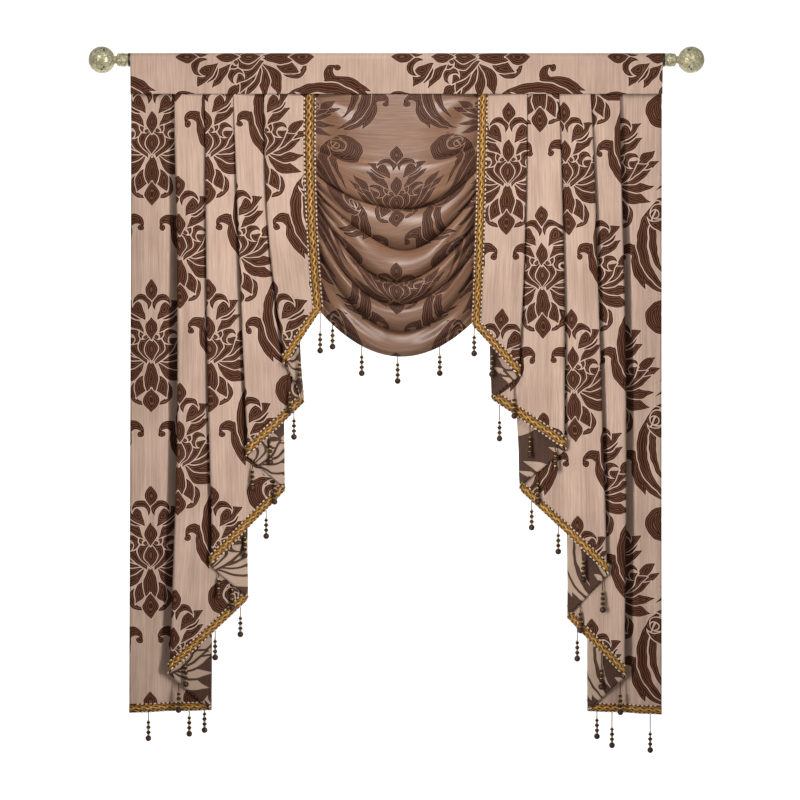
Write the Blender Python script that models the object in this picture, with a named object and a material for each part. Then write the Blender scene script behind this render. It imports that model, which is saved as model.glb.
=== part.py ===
"""Waterfall valance on a curtain rod, 1.5 m wide.

A flat heading is folded over the rod as a sleeve. A cowl swag hangs from its seam in the middle, and a pleated
tail on each side. A tail is one cloth in zigzag folds, cut along a diagonal, so that its hem steps down from the
leading edge to the outer edge. A braid with bead drops follows the leading edge and the hem.

Lengths are metres. Z is up, the cloth faces -Y, and the origin is the middle of the rod's axis.
The tables give millimetres: "out" is the distance from the middle of the valance, and "drop" the distance below
the rod's axis.
"""

import math
from typing import NamedTuple

import bpy
import numpy as np

MM = 0.001
GAP = 0.0003
CLOTH = 0.0012

ROD_DIAMETER = 0.035
ROD_SIDES = 28
HEADING_WIDTH = 1.5
SEAM_DROP = 0.0975
SEAM_ALLOWANCE = 0.009
HEADING_HALF_GAP = 0.0079
HEADING_COLUMNS = 14
HEADING_ARC_STEPS = 10
HEADING_LEG_STEPS = 4
HEADING_RIPPLE = 0.0014
RIPPLE_WAVES = 19.0, 5.0

FINIAL_SIDES = 18
BALL_RADIUS = 0.0375
BALL_OFFSET = 0.832
BALL_STEPS = 9
NECK_RADIUS = 0.009
BALL_END_ANGLE = 0.09

FOLD_RADIUS_TOP = 0.0015
FOLD_RADIUS_LOW = 0.0062
FOLD_OPENING_DEPTH = 0.2
TAIL_ROWS = 12
ARC_STEPS = 4
FACE_STEPS = 3
RETURN_STEPS = 2
ARC_SHARE = 0.06

BRAID_WIDTH = 0.025
BRAID_THICKNESS = 0.002
BRAID_GAP = 0.0006
BRAID_LEAD_STEPS = 8
HEM_SLOPE_WIDTH = 1.38

SWAG_ACROSS = 18
SWAG_DOWN = 34
SWAG_TUCK = 0.008
SWAG_SIDE_Y = 0.0045
SWAG_SIDE_SHARE = 0.05
SWAG_SIDE_CROWDING = 0.86
SWAG_BULGE_POWER = 3.2
TAPE_WIDTH = 0.012
TAPE_BEHIND = 0.0023

STRAND_SIDES = 4
ROOT_TAPER = 0.6
RETURN_DROP_LEAN = 0.010


class Fold(NamedTuple):
    """One fold line or free edge of a tail: how far out it is at the seam, half way down and at its foot, how far
    its foot is below the rod, how far it stands in front of (-) or behind (+) the middle plane at the seam and low
    down, and its turn: 1 at an outer fold, -1 at an inner one, 0 at a free edge."""

    name: str
    out_top: float
    out_middle: float
    out_foot: float
    foot_drop: float
    stand_top: float
    stand_low: float
    turn: int


LEFT_FOLDS = (
    Fold("outer edge", 750, 753, 756, 1845, 5.5, 9, 0),
    Fold("inner 0", 518, 521, 524, 1839, 5.5, 15, -1),
    Fold("outer 1", 626, 618, 640, 1734, -5.5, -13, 1),
    Fold("inner 1", 411, 415, 421, 1520, 5.5, 12, -1),
    Fold("outer 2", 541, 532, 521, 1432, -5.5, -15, 1),
    Fold("inner 2", 332, 325, 316, 1212, 5.5, 10, -1),
    Fold("outer 3", 460, 442, 418, 1119, -5.5, -17, 1),
    Fold("inner 3", 301, 284, 262, 966, 5.5, 8, -1),
    Fold("outer 4", 374, 360, 312, 864, -5.5, -17, 1),
    Fold("leading edge", 227, 226, 208, 701, -1.1, -4, 0),
)
RIGHT_FOLDS = (
    Fold("outer edge", 750, 750, 750, 1850, 5.5, 9, 0),
    Fold("inner 0", 538, 538, 541, 1842, 5.5, 15, -1),
    Fold("outer 1", 630, 645, 643, 1743, -5.5, -10, 1),
    Fold("inner 1", 472, 479, 484, 1576, 5.5, 12, -1),
    Fold("outer 2", 547, 574, 592, 1455, -5.5, -20, 1),
    Fold("inner 2", 307, 323, 349, 1209, 5.5, 11, -1),
    Fold("outer 3", 458, 470, 473, 1102, -5.5, -19, 1),
    Fold("inner 3", 257, 261, 269, 955, 5.5, 8, -1),
    Fold("outer 4", 368, 364, 343, 895, -5.5, -17, 1),
    Fold("leading edge", 232, 225, 213, 749, -1.1, -4, 0),
)


class SwagRow(NamedTuple):
    """One level line of the swag: its drop at the left side, the middle and the right side, and how far its middle
    reaches in front of the rod's axis."""

    name: str
    left_drop: float
    middle_drop: float
    right_drop: float
    reach: float


SWAG_ROWS = (
    SwagRow("top edge", 89, 89, 89, 6.6),
    SwagRow("seam", 99, 99, 99, 6.8),
    SwagRow("smooth front", 215, 262, 205, 24),
    SwagRow("roll 1", 285, 385, 272, 47),
    SwagRow("crease 1", 308, 430, 297, 31),
    SwagRow("roll 2", 338, 488, 336, 60),
    SwagRow("crease 2", 364, 528, 367, 41),
    SwagRow("roll 3", 386, 584, 418, 72),
    SwagRow("crease 3", 412, 621, 458, 51),
    SwagRow("roll 4", 438, 662, 492, 80),
    SwagRow("crease 4", 466, 695, 522, 58),
    SwagRow("roll 5", 496, 734, 556, 84),
    SwagRow("crease 5", 531, 771, 593, 62),
    SwagRow("hem roll", 655, 822, 680, 79),
    SwagRow("hem", 712, 839, 734, 66),
)


class Drop(NamedTuple):
    """One bead drop: the section of the tail's hem that it hangs from, counted from the outer edge, its place along
    that section from 0 at the outer fold or edge, and how far it reaches below the hem."""

    section: int
    share: float
    reach: float


LEFT_DROPS = (
    Drop(0, 0.24, 84),
    Drop(0, 0.75, 75),
    Drop(0, 0.94, 66),
    Drop(1, 0.80, 86),
    Drop(2, 0.18, 84),
    Drop(2, 0.58, 86),
    Drop(2, 0.93, 88),
    Drop(3, 0.42, 74),
    Drop(3, 0.84, 76),
    Drop(4, 0.45, 78),
    Drop(4, 0.76, 84),
    Drop(5, 0.25, 72),
    Drop(5, 0.93, 88),
    Drop(6, 0.38, 88),
    Drop(6, 0.85, 80),
    Drop(7, 0.86, 118),
    Drop(8, 0.36, 118),
    Drop(8, 0.93, 120),
)
RIGHT_DROPS = (
    Drop(0, 0.16, 112),
    Drop(0, 0.69, 104),
    Drop(0, 0.90, 80),
    Drop(1, 0.93, 96),
    Drop(2, 0.40, 106),
    Drop(2, 0.86, 96),
    Drop(3, 0.30, 84),
    Drop(3, 0.93, 92),
    Drop(4, 0.26, 92),
    Drop(4, 0.57, 82),
    Drop(4, 0.89, 84),
    Drop(5, 0.40, 92),
    Drop(6, 0.10, 86),
    Drop(6, 0.47, 94),
    Drop(6, 0.92, 106),
    Drop(7, 0.90, 112),
    Drop(8, 0.55, 88),
    Drop(8, 0.95, 84),
)


class SwagDrop(NamedTuple):
    """One bead drop of the swag: its place across the hem, from -1 at the left side to 1 at the right, and its reach
    below the hem."""

    across: float
    reach: float


SWAG_DROPS = (SwagDrop(-0.84, 72), SwagDrop(-0.46, 86), SwagDrop(0.0, 78), SwagDrop(0.54, 84))


class Bead(NamedTuple):
    """One ring of a bead drop's outline: its distance above the drop's end and its radius."""

    above_end: float
    radius: float


BEAD_OUTLINE = (
    Bead(0, 2.2),
    Bead(4, 7.6),
    Bead(11, 8.2),
    Bead(17, 3.0),
    Bead(24, 3.4),
    Bead(29, 5.2),
    Bead(36, 2.4),
    Bead(44, 2.6),
    Bead(50, 4.8),
    Bead(57, 1.0),
)


class Turning(NamedTuple):
    """One ring of a finial's collar and neck: its distance from the middle of the valance and its radius."""

    offset: float
    radius: float


COLLAR_OUTLINE = (
    Turning(753.0, 17.6),
    Turning(755.0, 19.2),
    Turning(762.0, 19.2),
    Turning(764.0, 17.4),
    Turning(768.0, 17.4),
    Turning(770.0, 19.2),
    Turning(778.0, 18.6),
    Turning(783.0, 15.0),
    Turning(789.0, 10.2),
    Turning(794.0, 9.0),
)


def make_material(name, colour, roughness, metallic=0.0):
    material = bpy.data.materials.new(name)
    material.use_nodes = True
    shader = material.node_tree.nodes["Principled BSDF"]
    shader.inputs["Base Color"].default_value = (*colour, 1.0)
    shader.inputs["Roughness"].default_value = roughness
    shader.inputs["Metallic"].default_value = metallic
    return material


def make_object(name, points, faces, material):
    mesh = bpy.data.meshes.new(name)
    mesh.from_pydata([tuple(point) for point in points], [], faces)
    mesh.validate()
    mesh.update()
    made = bpy.data.objects.new(name, mesh)
    bpy.context.collection.objects.link(made)
    mesh.materials.append(material)
    mesh.shade_smooth()
    return made


def grid_faces(rows, columns):
    """Quads over a grid of points stored row by row, facing the side from which rows run down and columns right."""
    first = np.arange(rows - 1)[:, None] * columns + np.arange(columns - 1)[None, :]
    corners = np.stack((first, first + columns, first + columns + 1, first + 1), axis=-1)
    return corners.reshape(-1, 4).tolist()


def make_sheet(name, grid, thickness, material):
    """A sheet around the surface through the grid of points, with half its thickness on each side."""
    rows, columns = grid.shape[:2]
    made = make_object(name, grid.reshape(-1, 3), grid_faces(rows, columns), material)
    solidify = made.modifiers.new("Thickness", "SOLIDIFY")
    solidify.thickness = thickness
    solidify.offset = 0.0
    return made


def turned_mesh(rings, sides, axis_points):
    """Points and faces of a closed turned shape: a ring of the given radius round each axis point, across the axis,
    which runs along X or Z, with flat ends. The first ring is the far end."""
    radii = np.array(rings)[:, None]
    angles = 2 * math.pi * np.arange(sides) / sides
    first_way, second_way = radii * np.cos(angles), radii * np.sin(angles)
    along_x = abs(axis_points[0][0] - axis_points[-1][0]) > abs(axis_points[0][2] - axis_points[-1][2])
    zero = np.zeros_like(first_way)
    spread = (zero, first_way, second_way) if along_x else (first_way, second_way, zero)
    points = np.stack(spread, axis=-1) + np.array(axis_points)[:, None, :]
    count = len(rings)
    faces = [
        (row * sides + side, row * sides + (side + 1) % sides,
         (row + 1) * sides + (side + 1) % sides, (row + 1) * sides + side)
        for row in range(count - 1)
        for side in range(sides)
    ]
    faces.append(tuple(reversed(range(sides))))
    faces.append(tuple((count - 1) * sides + side for side in range(sides)))
    return points.reshape(-1, 3), faces


def face_outwards(made):
    """Turn every face outwards, whichever way the outline ran."""
    bpy.context.view_layer.objects.active = made
    made.select_set(True)
    bpy.ops.object.mode_set(mode="EDIT")
    bpy.ops.mesh.select_all(action="SELECT")
    bpy.ops.mesh.normals_make_consistent(inside=False)
    bpy.ops.object.mode_set(mode="OBJECT")
    made.select_set(False)


def make_rod(material):
    half = COLLAR_OUTLINE[0].offset * MM - GAP
    radius = ROD_DIAMETER / 2
    points, faces = turned_mesh((radius, radius), ROD_SIDES, ((-half, 0, 0), (half, 0, 0)))
    rod = make_object("rod", points, faces, material)
    face_outwards(rod)
    return rod


def make_finial(name, side, material):
    """A collar and neck turned from their outline, then a ball on the neck."""
    start = math.asin(NECK_RADIUS / BALL_RADIUS)
    angles = np.linspace(math.pi - start, BALL_END_ANGLE, BALL_STEPS + 1)
    offsets = [turning.offset * MM for turning in COLLAR_OUTLINE]
    radii = [turning.radius * MM for turning in COLLAR_OUTLINE]
    offsets += (BALL_OFFSET + BALL_RADIUS * np.cos(angles)).tolist()
    radii += (BALL_RADIUS * np.sin(angles)).tolist()
    axis_points = [(side * offset, 0.0, 0.0) for offset in offsets]
    points, faces = turned_mesh(radii, FINIAL_SIDES, axis_points)
    finial = make_object(name, points, faces, material)
    face_outwards(finial)
    return finial


def make_heading(material):
    """A band folded over the rod: the front leg, a half circle round the rod, and the back leg. The legs close in
    towards the seam, where the tails and the swag hang between them, and the front leg ripples a little."""
    radius = ROD_DIAMETER / 2 + GAP + CLOTH / 2
    foot_y = HEADING_HALF_GAP + CLOTH / 2
    lean = math.atan2(radius - foot_y, SEAM_DROP)
    angles = np.linspace(math.pi + lean, -lean, HEADING_ARC_STEPS + 1)
    arc_y, arc_z = radius * np.cos(angles), radius * np.sin(angles)
    share = np.linspace(0, 1, HEADING_LEG_STEPS + 1)[:-1]
    leg_y = -foot_y + (arc_y[0] + foot_y) * share
    leg_z = -SEAM_DROP + (arc_z[0] + SEAM_DROP) * share
    section_y = np.concatenate((leg_y, arc_y, -leg_y[::-1]))
    section_z = np.concatenate((leg_z, arc_z, leg_z[::-1]))
    across = np.linspace(-HEADING_WIDTH / 2, HEADING_WIDTH / 2, HEADING_COLUMNS + 1)
    hang = np.clip(-section_z / SEAM_DROP, 0, 1)[:, None]
    quick, slow = RIPPLE_WAVES
    ripple = HEADING_RIPPLE * hang * (0.5 - 0.5 * np.cos(across * quick) * np.cos(across * slow))[None, :]
    grid = np.empty((len(section_y), len(across), 3))
    grid[..., 0] = across
    grid[..., 1] = section_y[:, None] + ripple * np.sign(section_y)[:, None]
    grid[..., 2] = section_z[:, None]
    return make_sheet("heading", grid[::-1], CLOTH, material)


class Tail:
    """The folded surface of one tail. At each height the fold lines are rolls, and the cloth runs round them like a
    belt: behind and round the inside of an inner roll, then in front and round the outside of an outer one."""

    def __init__(self, side, folds):
        self.side = side
        self.folds = folds
        self.top = -SEAM_DROP + SEAM_ALLOWANCE
        self.columns = self.make_columns()

    def make_columns(self):
        """Each column is (section or fold, share along it, whether it lies on a fold's roll)."""
        columns = []
        last = len(self.folds) - 1
        for index in range(last):
            steps = FACE_STEPS if index % 2 == 0 else RETURN_STEPS
            if index == 0:
                columns.append((0, 0.0, False))
            else:
                columns += [(index, step / ARC_STEPS, True) for step in range(ARC_STEPS + 1)]
            columns += [(index, step / steps, False) for step in range(1, steps)]
        columns.append((last - 1, 1.0 - self.braid_share(), False))
        columns.append((last - 1, 1.0, False))
        return columns

    def braid_share(self):
        """The braid's width as a share of the last face."""
        lead, fold = self.folds[-1], self.folds[-2]
        return BRAID_WIDTH / ((fold.out_foot - lead.out_foot) * MM)

    def roll(self, index, z):
        """Out and Y of a fold's roll centre, and its radius, at the heights z."""
        fold = self.folds[index]
        seam, foot = -SEAM_DROP, -fold.foot_drop * MM
        share = (z - seam) / (foot - seam)
        top, middle, low = fold.out_top * MM, fold.out_middle * MM, fold.out_foot * MM
        line = top + (low - top) * share + (middle - (top + low) / 2) * 4 * share * (1 - share)
        opened = 1 - np.exp(np.minimum(z - seam, 0) / FOLD_OPENING_DEPTH)
        radius = FOLD_RADIUS_TOP + (FOLD_RADIUS_LOW - FOLD_RADIUS_TOP) * opened
        radius = radius * abs(fold.turn)
        stand = (fold.stand_top + (fold.stand_low - fold.stand_top) * opened) * MM
        return line - fold.turn * radius, stand, radius

    def leaving_angle(self, index, z):
        """Direction, from the roll's centre, of the point where the belt leaves it for the next one."""
        out_a, y_a, radius_a = self.roll(index, z)
        out_b, y_b, radius_b = self.roll(index + 1, z)
        distance = np.hypot(out_b - out_a, y_b - y_a)
        heading = np.arctan2(y_b - y_a, out_b - out_a)
        inward = index % 2 == 0
        heading = np.where(heading < 0, heading + 2 * math.pi, heading) if inward else heading
        swing = np.arccos((radius_a + radius_b) / distance)
        return heading + swing if inward else heading - swing

    def section_point(self, column, z):
        """Out, Y and the face's normal in plan, at the heights z of one column."""
        index, share, on_roll = column
        if on_roll:
            out, y, radius = self.roll(index, z)
            arriving = self.leaving_angle(index - 1, z) + math.pi
            leaving = self.leaving_angle(index, z)
            turn = self.folds[index].turn
            sweep = (leaving - arriving) * -turn
            sweep = np.mod(sweep, 2 * math.pi) * -turn
            angle = arriving + sweep * share
            normal = np.stack((np.cos(angle), np.sin(angle)), axis=-1)
            spot = np.stack((out, y), axis=-1) + radius[..., None] * normal
            return spot, normal * turn
        out_a, y_a, radius_a = self.roll(index, z)
        out_b, y_b, radius_b = self.roll(index + 1, z)
        angle = self.leaving_angle(index, z)
        normal = np.stack((np.cos(angle), np.sin(angle)), axis=-1)
        start = np.stack((out_a, y_a), axis=-1) + radius_a[..., None] * normal
        end = np.stack((out_b, y_b), axis=-1) - radius_b[..., None] * normal
        faces_front = 1 if index % 2 == 0 else -1
        return start + (end - start) * share, normal * faces_front

    def place(self, column):
        """Where a column stands between the folds, counted in folds from the outer edge."""
        index, share, on_roll = column
        if on_roll:
            return index + (share - 0.5) * 2 * ARC_SHARE
        low = index + (ARC_SHARE if index > 0 else 0)
        high = index + 1 - (ARC_SHARE if index < len(self.folds) - 2 else 0)
        return low + (high - low) * share

    def hem(self, column):
        """Height of the cut hem at a column."""
        feet = [-fold.foot_drop * MM for fold in self.folds]
        return float(np.interp(self.place(column), np.arange(len(feet)), feet))

    def band_top(self, column):
        """Height of the upper edge of the braid that lies along the hem."""
        sloping = self.place(column) >= 1
        return self.hem(column) + BRAID_WIDTH * (HEM_SLOPE_WIDTH if sloping else 1)

    def points(self, column, z, forward=0.0):
        """World points of one column at the heights z, moved forward along the face's normal."""
        z = np.atleast_1d(np.asarray(z, float))
        spot, normal = self.section_point(column, z)
        spot = spot + normal * forward
        return np.stack((self.side * spot[:, 0], spot[:, 1], z), axis=-1)


def facing_front(grid, side):
    """Turn the grid's columns round on the left, so that both tails' faces point the same way."""
    return grid[:, ::-1] if side > 0 else grid


def make_tail(name, tail, material):
    """Rows run from the seam to the braid's upper edge, and the last one is the hem."""
    share = np.linspace(0, 1, TAIL_ROWS)
    columns = []
    for column in tail.columns:
        heights = tail.top + (tail.band_top(column) - tail.top) * share
        columns.append(tail.points(column, np.append(heights, tail.hem(column))))
    return make_sheet(name, facing_front(np.stack(columns, axis=1), tail.side), CLOTH, material)


def braid_rows(tail, forward):
    """The braid's two long edges, from the seam down the leading edge and out along the hem."""
    start = -SEAM_DROP - CLOTH / 2 - GAP
    lead, inner = tail.columns[-1], tail.columns[-2]
    inner_end, lead_end = tail.band_top(inner), tail.hem(lead)
    down = np.linspace(0, 1, BRAID_LEAD_STEPS + 1)
    upper = [tail.points(inner, start + (inner_end - start) * down, forward)]
    lower = [tail.points(lead, start + (lead_end - start) * down, forward)]
    for column in reversed(tail.columns[:-2]):
        upper.append(tail.points(column, tail.band_top(column), forward))
        lower.append(tail.points(column, tail.hem(column), forward))
    return np.concatenate(upper), np.concatenate(lower)


def strand_rings(end, top):
    """Radii and axis points of one bead drop, from its end up along its thread to a root inside the braid."""
    rings = [bead.radius * MM for bead in BEAD_OUTLINE] + [BEAD_OUTLINE[-1].radius * ROOT_TAPER * MM]
    heights = [bead.above_end * MM for bead in BEAD_OUTLINE] + [top[2] - end[2]]
    shares = np.array(heights)[:, None] / heights[-1]
    return rings, end + (top - end) * shares


def make_strands(name, roots, material):
    """All bead drops of one braid as one mesh, which the braid is then joined with. A root is a point just above the
    braid's lower edge, the drop's reach below it, and how far the drop's end leans forward off the cloth behind."""
    points, faces = [], []
    for root, reach, lean in roots:
        end = root - np.array((0, lean, reach))
        rings, axis_points = strand_rings(end, root + np.array((0, 0, BRAID_THICKNESS)))
        strand_points, strand_faces = turned_mesh(rings, STRAND_SIDES, axis_points)
        first = sum(len(group) for group in points)
        faces += [tuple(corner + first for corner in face) for face in strand_faces]
        points.append(strand_points)
    strands = make_object(name, np.concatenate(points), faces, material)
    face_outwards(strands)
    strands.hide_render = True
    strands.display_type = "WIRE"
    return strands


def join_strands(backing, strands):
    union = backing.modifiers.new("Strands", "BOOLEAN")
    union.operation = "UNION"
    union.object = strands


def make_trim(name, tail, drops, material):
    """The braid on the tail's face, and the drops rooted in its lower edge."""
    forward = CLOTH / 2 + BRAID_GAP + BRAID_THICKNESS / 2
    upper, lower = braid_rows(tail, forward)
    grid = np.stack((upper, lower), axis=0)
    if tail.side < 0:
        grid = grid[:, ::-1]
    braid = make_sheet(name, grid, BRAID_THICKNESS, material)
    roots = []
    for drop in drops:
        column = (drop.section, drop.share, False)
        root = tail.points(column, tail.hem(column) + BRAID_THICKNESS, forward)[0]
        lean = RETURN_DROP_LEAN if drop.section % 2 else 0.0
        roots.append((root, drop.reach * MM, lean))
    join_strands(braid, make_strands(name + "_strands", roots, material))
    return braid


class Swag:
    """The cowl between the tails. Its level lines sag as parabolas between its sides, and bulge forward from the
    sides, which are tucked behind the tails' leading edges."""

    def __init__(self, left_tail, right_tail):
        self.tails = left_tail, right_tail
        self.rows = np.array([row[1:] for row in SWAG_ROWS]) * MM

    def along(self, column, down):
        """A smooth curve through one column of the table."""
        values = self.rows[:, column]
        slopes = np.gradient(values)
        place = np.clip(down, 0, 1) * (len(values) - 1)
        index = np.minimum(place.astype(int), len(values) - 2)
        share = place - index
        a, b, slope_a, slope_b = values[index], values[index + 1], slopes[index], slopes[index + 1]
        return (
            a * (1 + 2 * share) * (1 - share) ** 2
            + slope_a * share * (1 - share) ** 2
            + b * share**2 * (3 - 2 * share)
            - slope_b * share**2 * (1 - share)
        )

    def points(self, across, down, behind=0.0):
        """World points at across (-1 left to 1 right) and down (0 at the top edge, 1 at the hem)."""
        left, middle, right, reach = (self.along(column, down) for column in range(4))
        sag = middle - (left + right) / 2
        z = -(left + (right - left) * (across + 1) / 2 + sag * (1 - across**2))
        sides = []
        for tail, drop in zip(self.tails, (left, right)):
            out, _, _ = tail.roll(len(tail.folds) - 1, -drop)
            sides.append(tail.side * (out + SWAG_TUCK))
        x = sides[0] + (sides[1] - sides[0]) * (across + 1) / 2
        near_middle = np.clip(np.abs(across) / (1 - SWAG_SIDE_SHARE), 0, 1)
        bulge = 1 - near_middle**SWAG_BULGE_POWER
        y = SWAG_SIDE_Y - (reach + SWAG_SIDE_Y) * bulge + behind
        return np.stack((x, y, z), axis=-1)


def swag_columns():
    """Places across the swag, from -1 to 1, closer together towards its sides."""
    half_angle = math.pi / 2 * SWAG_SIDE_CROWDING
    return np.sin(np.linspace(-half_angle, half_angle, SWAG_ACROSS + 1)) / math.sin(half_angle)


def make_swag(swag, material):
    across = swag_columns()
    down = np.linspace(0, 1, SWAG_DOWN + 1)
    grid = swag.points(across[None, :] + 0 * down[:, None], down[:, None] + 0 * across[None, :])
    return make_sheet("swag", grid, CLOTH, material)


def make_swag_drops(swag, material):
    """A narrow tape behind the swag's hem, with its bead drops."""
    behind = TAPE_BEHIND
    across = swag_columns()[2:-2]
    low = swag.points(across, np.ones_like(across), behind)
    high = low + np.array((0, 0, TAPE_WIDTH))
    tape = make_sheet("drops_swag", np.stack((high, low), axis=0), CLOTH, material)
    roots = []
    for drop in SWAG_DROPS:
        place = swag.points(np.array([drop.across]), np.ones(1), behind)[0]
        roots.append((place + np.array((0, 0, CLOTH)), drop.reach * MM, 0.0))
    join_strands(tape, make_strands("drops_swag_strands", roots, material))
    return tape


def clear_scene():
    for old in list(bpy.data.objects):
        bpy.data.objects.remove(old, do_unlink=True)


def main():
    clear_scene()
    metal = make_material("champagne_metal", (0.36, 0.35, 0.19), 0.38, 0.7)
    rod_paint = make_material("rod_paint", (0.36, 0.35, 0.19), 0.4, 0.6)
    damask = make_material("damask", (0.42, 0.27, 0.19), 0.6)
    satin = make_material("damask_swag", (0.33, 0.21, 0.14), 0.45)
    braid = make_material("gold_braid", (0.4, 0.22, 0.06), 0.45, 0.2)
    beads = make_material("drop_tape", (0.1, 0.07, 0.06), 0.3)
    left_tail, right_tail = Tail(-1, LEFT_FOLDS), Tail(1, RIGHT_FOLDS)
    swag = Swag(left_tail, right_tail)
    make_rod(rod_paint)
    make_finial("finial_left", -1, metal)
    make_finial("finial_right", 1, metal)
    make_heading(damask)
    make_swag(swag, satin)
    make_tail("tail_left", left_tail, damask)
    make_tail("tail_right", right_tail, damask)
    make_trim("trim_left", left_tail, LEFT_DROPS, braid)
    make_trim("trim_right", right_tail, RIGHT_DROPS, braid)
    make_swag_drops(swag, beads)


main()
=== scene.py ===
"""Waterfall valance on a curtain rod: a sleeve heading, a cowl swag, two pleated tails, braid and bead drops.

Run with Blender, the script dresses the solid model: each cloth becomes a fine sheet on its solid's folds
with a woven damask, the braid gets its cords and stitches, and the drops get their beads.

Lengths are metres. Z is up, the cloth faces -Y, and the origin is the middle of the rod's axis. The tables
give millimetres: "out" is the distance from the middle of the valance, "drop" the distance below the axis.
"""

import math
from typing import NamedTuple

import bpy
import numpy as np
from bpy.props import FloatProperty, FloatVectorProperty, IntProperty, PointerProperty
from bpy.types import Operator, Panel, PropertyGroup
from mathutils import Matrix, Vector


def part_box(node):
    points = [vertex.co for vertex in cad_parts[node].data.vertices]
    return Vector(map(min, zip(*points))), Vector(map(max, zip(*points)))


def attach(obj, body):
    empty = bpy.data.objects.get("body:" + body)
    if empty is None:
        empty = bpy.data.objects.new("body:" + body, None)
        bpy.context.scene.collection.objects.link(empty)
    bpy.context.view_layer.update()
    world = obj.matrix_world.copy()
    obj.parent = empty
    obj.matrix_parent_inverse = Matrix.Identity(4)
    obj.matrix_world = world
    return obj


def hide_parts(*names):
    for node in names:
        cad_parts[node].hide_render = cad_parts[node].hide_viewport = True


bl_info = {
    "name": "Waterfall Valance",
    "version": (1, 0, 0),
    "blender": (4, 5, 0),
    "location": "3D View > Sidebar > Valance",
    "description": "Dresses a waterfall valance in damask, braid and bead drops",
    "category": "Add Mesh",
}

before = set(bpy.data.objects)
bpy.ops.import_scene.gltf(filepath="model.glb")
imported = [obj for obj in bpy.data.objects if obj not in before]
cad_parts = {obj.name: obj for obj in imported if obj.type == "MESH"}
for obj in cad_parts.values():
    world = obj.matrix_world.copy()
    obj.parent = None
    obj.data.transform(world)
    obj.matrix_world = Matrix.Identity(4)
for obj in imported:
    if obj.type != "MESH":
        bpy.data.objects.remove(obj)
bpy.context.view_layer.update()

MM = 0.001
ROD_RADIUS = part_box("rod")[1][2]

# The heading, and the seam that closes its sleeve.
HEADING_HALF_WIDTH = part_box("heading")[1][0]
HEADING_HALF_GAP = 0.0079
HEADING_GAP = 0.0003
HEADING_COLUMNS, HEADING_LEG_ROWS, HEADING_ARC_ROWS = 381, 30, 41
HEADING_RIPPLE = 0.0014
RIPPLE_WAVES = 19.0, 5.0
PUCKER_WAVES, PUCKER_WANDER, PUCKER_WANDER_WAVES = 140, 3, 17
PUCKER_HEIGHT = 0.016
HEADING_MOTIF_RISE, HEADING_MOTIF_START, HEADING_MOTIF_SCALE = 0.0056, -0.620, 0.961
SEAM_DROP = 0.0975
SEAM_ALLOWANCE = 0.009

# The tails' folds.
FOLD_RADIUS_TOP, FOLD_RADIUS_LOW = 0.0015, 0.0062
FOLD_OPENING_DEPTH = 0.2
ARC_SHARE = 0.06
FACE_DIVES = 0.014, 0.0035, 0.007, 0.001
DIVE_SHARE = 0.26
SEAM_CALM, HEM_CALM, EDGE_CALM = 0.12, 0.07, 0.028
FACING_FROM, FACING_RANGE = 0.6, 0.3

# The swag's folds and its tape. Rows are counted in SWAG_ROWS.
SWAG_TUCK = 0.008
SWAG_SIDE_Y = 0.0045
SWAG_SIDE_SHARE = 0.05
SWAG_BULGE_POWER = 3.2
SWAG_FULLNESS = 1.2
SWAG_TIP_DROP = 0.2486
FIRST_ROLL, LAST_CREASE = 3, 12
ROLL_FADE_ROWS = 0.9
COWL_SIDE_POWER = 14
COWL_DIP = 0.42
CREASE_SOFTNESS = 0.05
WANDER_ROWS, WANDER_ACROSS, WANDER_DOWN = 0.3, 3.4, 9.0
WRINKLE_DEPTH, WRINKLE_ROWS, WRINKLE_SLANT, WRINKLE_SIDE_POWER = 0.0024, 1.6, 0.9, 1.5
SIDE_CREASE_ROWS, SIDE_CREASE_FADE = 0.15, 0.35
SWAG_CORNER = 0.225
PULL_WAVES, PULL_DEPTH, PULL_REACH, PULL_SPREAD, PULL_START = 7.0, 0.0046, 0.10, 0.06, 0.03
TAPE_WIDTH, TAPE_BEHIND, TAPE_SHARE = 0.012, 0.0023, 0.93
TAPE_COLUMNS, TAPE_ROWS = 90, 4
TAPE_ROOT_RISE = 0.0012

# The braid, its cords and stitches.
BRAID_GAP = 0.0006
BRAID_BELOW_SEAM = 0.0009
BRAID_SPACING = 0.0023
HEM_SLOPE_WIDTH = 1.38
LEAD_POINTS, SECTION_POINTS, TURN_POINTS = 80, 40, 10
BAND_COLUMNS, BAND_CROWN = 7, 0.0004
BRAID_CORDS, CORD_SIDES = 3, 6
CORD_SPREAD, CORD_SWING = 0.215, 0.07
CORD_LIFT, CORD_LIFT_WAVE = 0.0011, 0.0009
STITCH_EDGE, STITCH_LIFT, STITCH_HALF_LENGTH = 0.45, 0.0006, 0.31
STITCH_PROFILE = 0.35, 0.92, 1.1, 0.92, 0.35

# The bead drops. A bead's fineness is its rings and sides. CLEAR_OF_HEM is millimetres, as in the tables.
LARGE_BEAD, SMALL_BEAD = (13, 20), (9, 12)
BEAD_POLE = 0.12
CLEAR_OF_HEM = 7.0
THREAD_RINGS, THREAD_SIDES = 7, 6
DROP_ROOT_RISE, DROP_ROOT_FORWARD = 0.002, 0.001
RETURN_DROP_LEAN = 0.010

# The finials.
BALL_OFFSET = 0.832
NECK_RADIUS = 0.009
BALL_RINGS, BALL_POLE = 60, 0.03
STUD_SIDES, STUD_RISES, STUD_OUTLINE = 10, (-0.0006, 0.0001, 0.0003), (1.0, 1.0, 0.6)

# The stage.
CAMERA_PLACE, CAMERA_LENS = (0.0099, -6.0, -0.9605), 95.6
SWEEP_FRONT, SWEEP_DEPTH, SWEEP_TOP, SWEEP_HALF_WIDTH = -9.0, 7.6, 6.0, 12
SWEEP_CORNER, SWEEP_CORNER_ROWS = 1.2, 17


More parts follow.
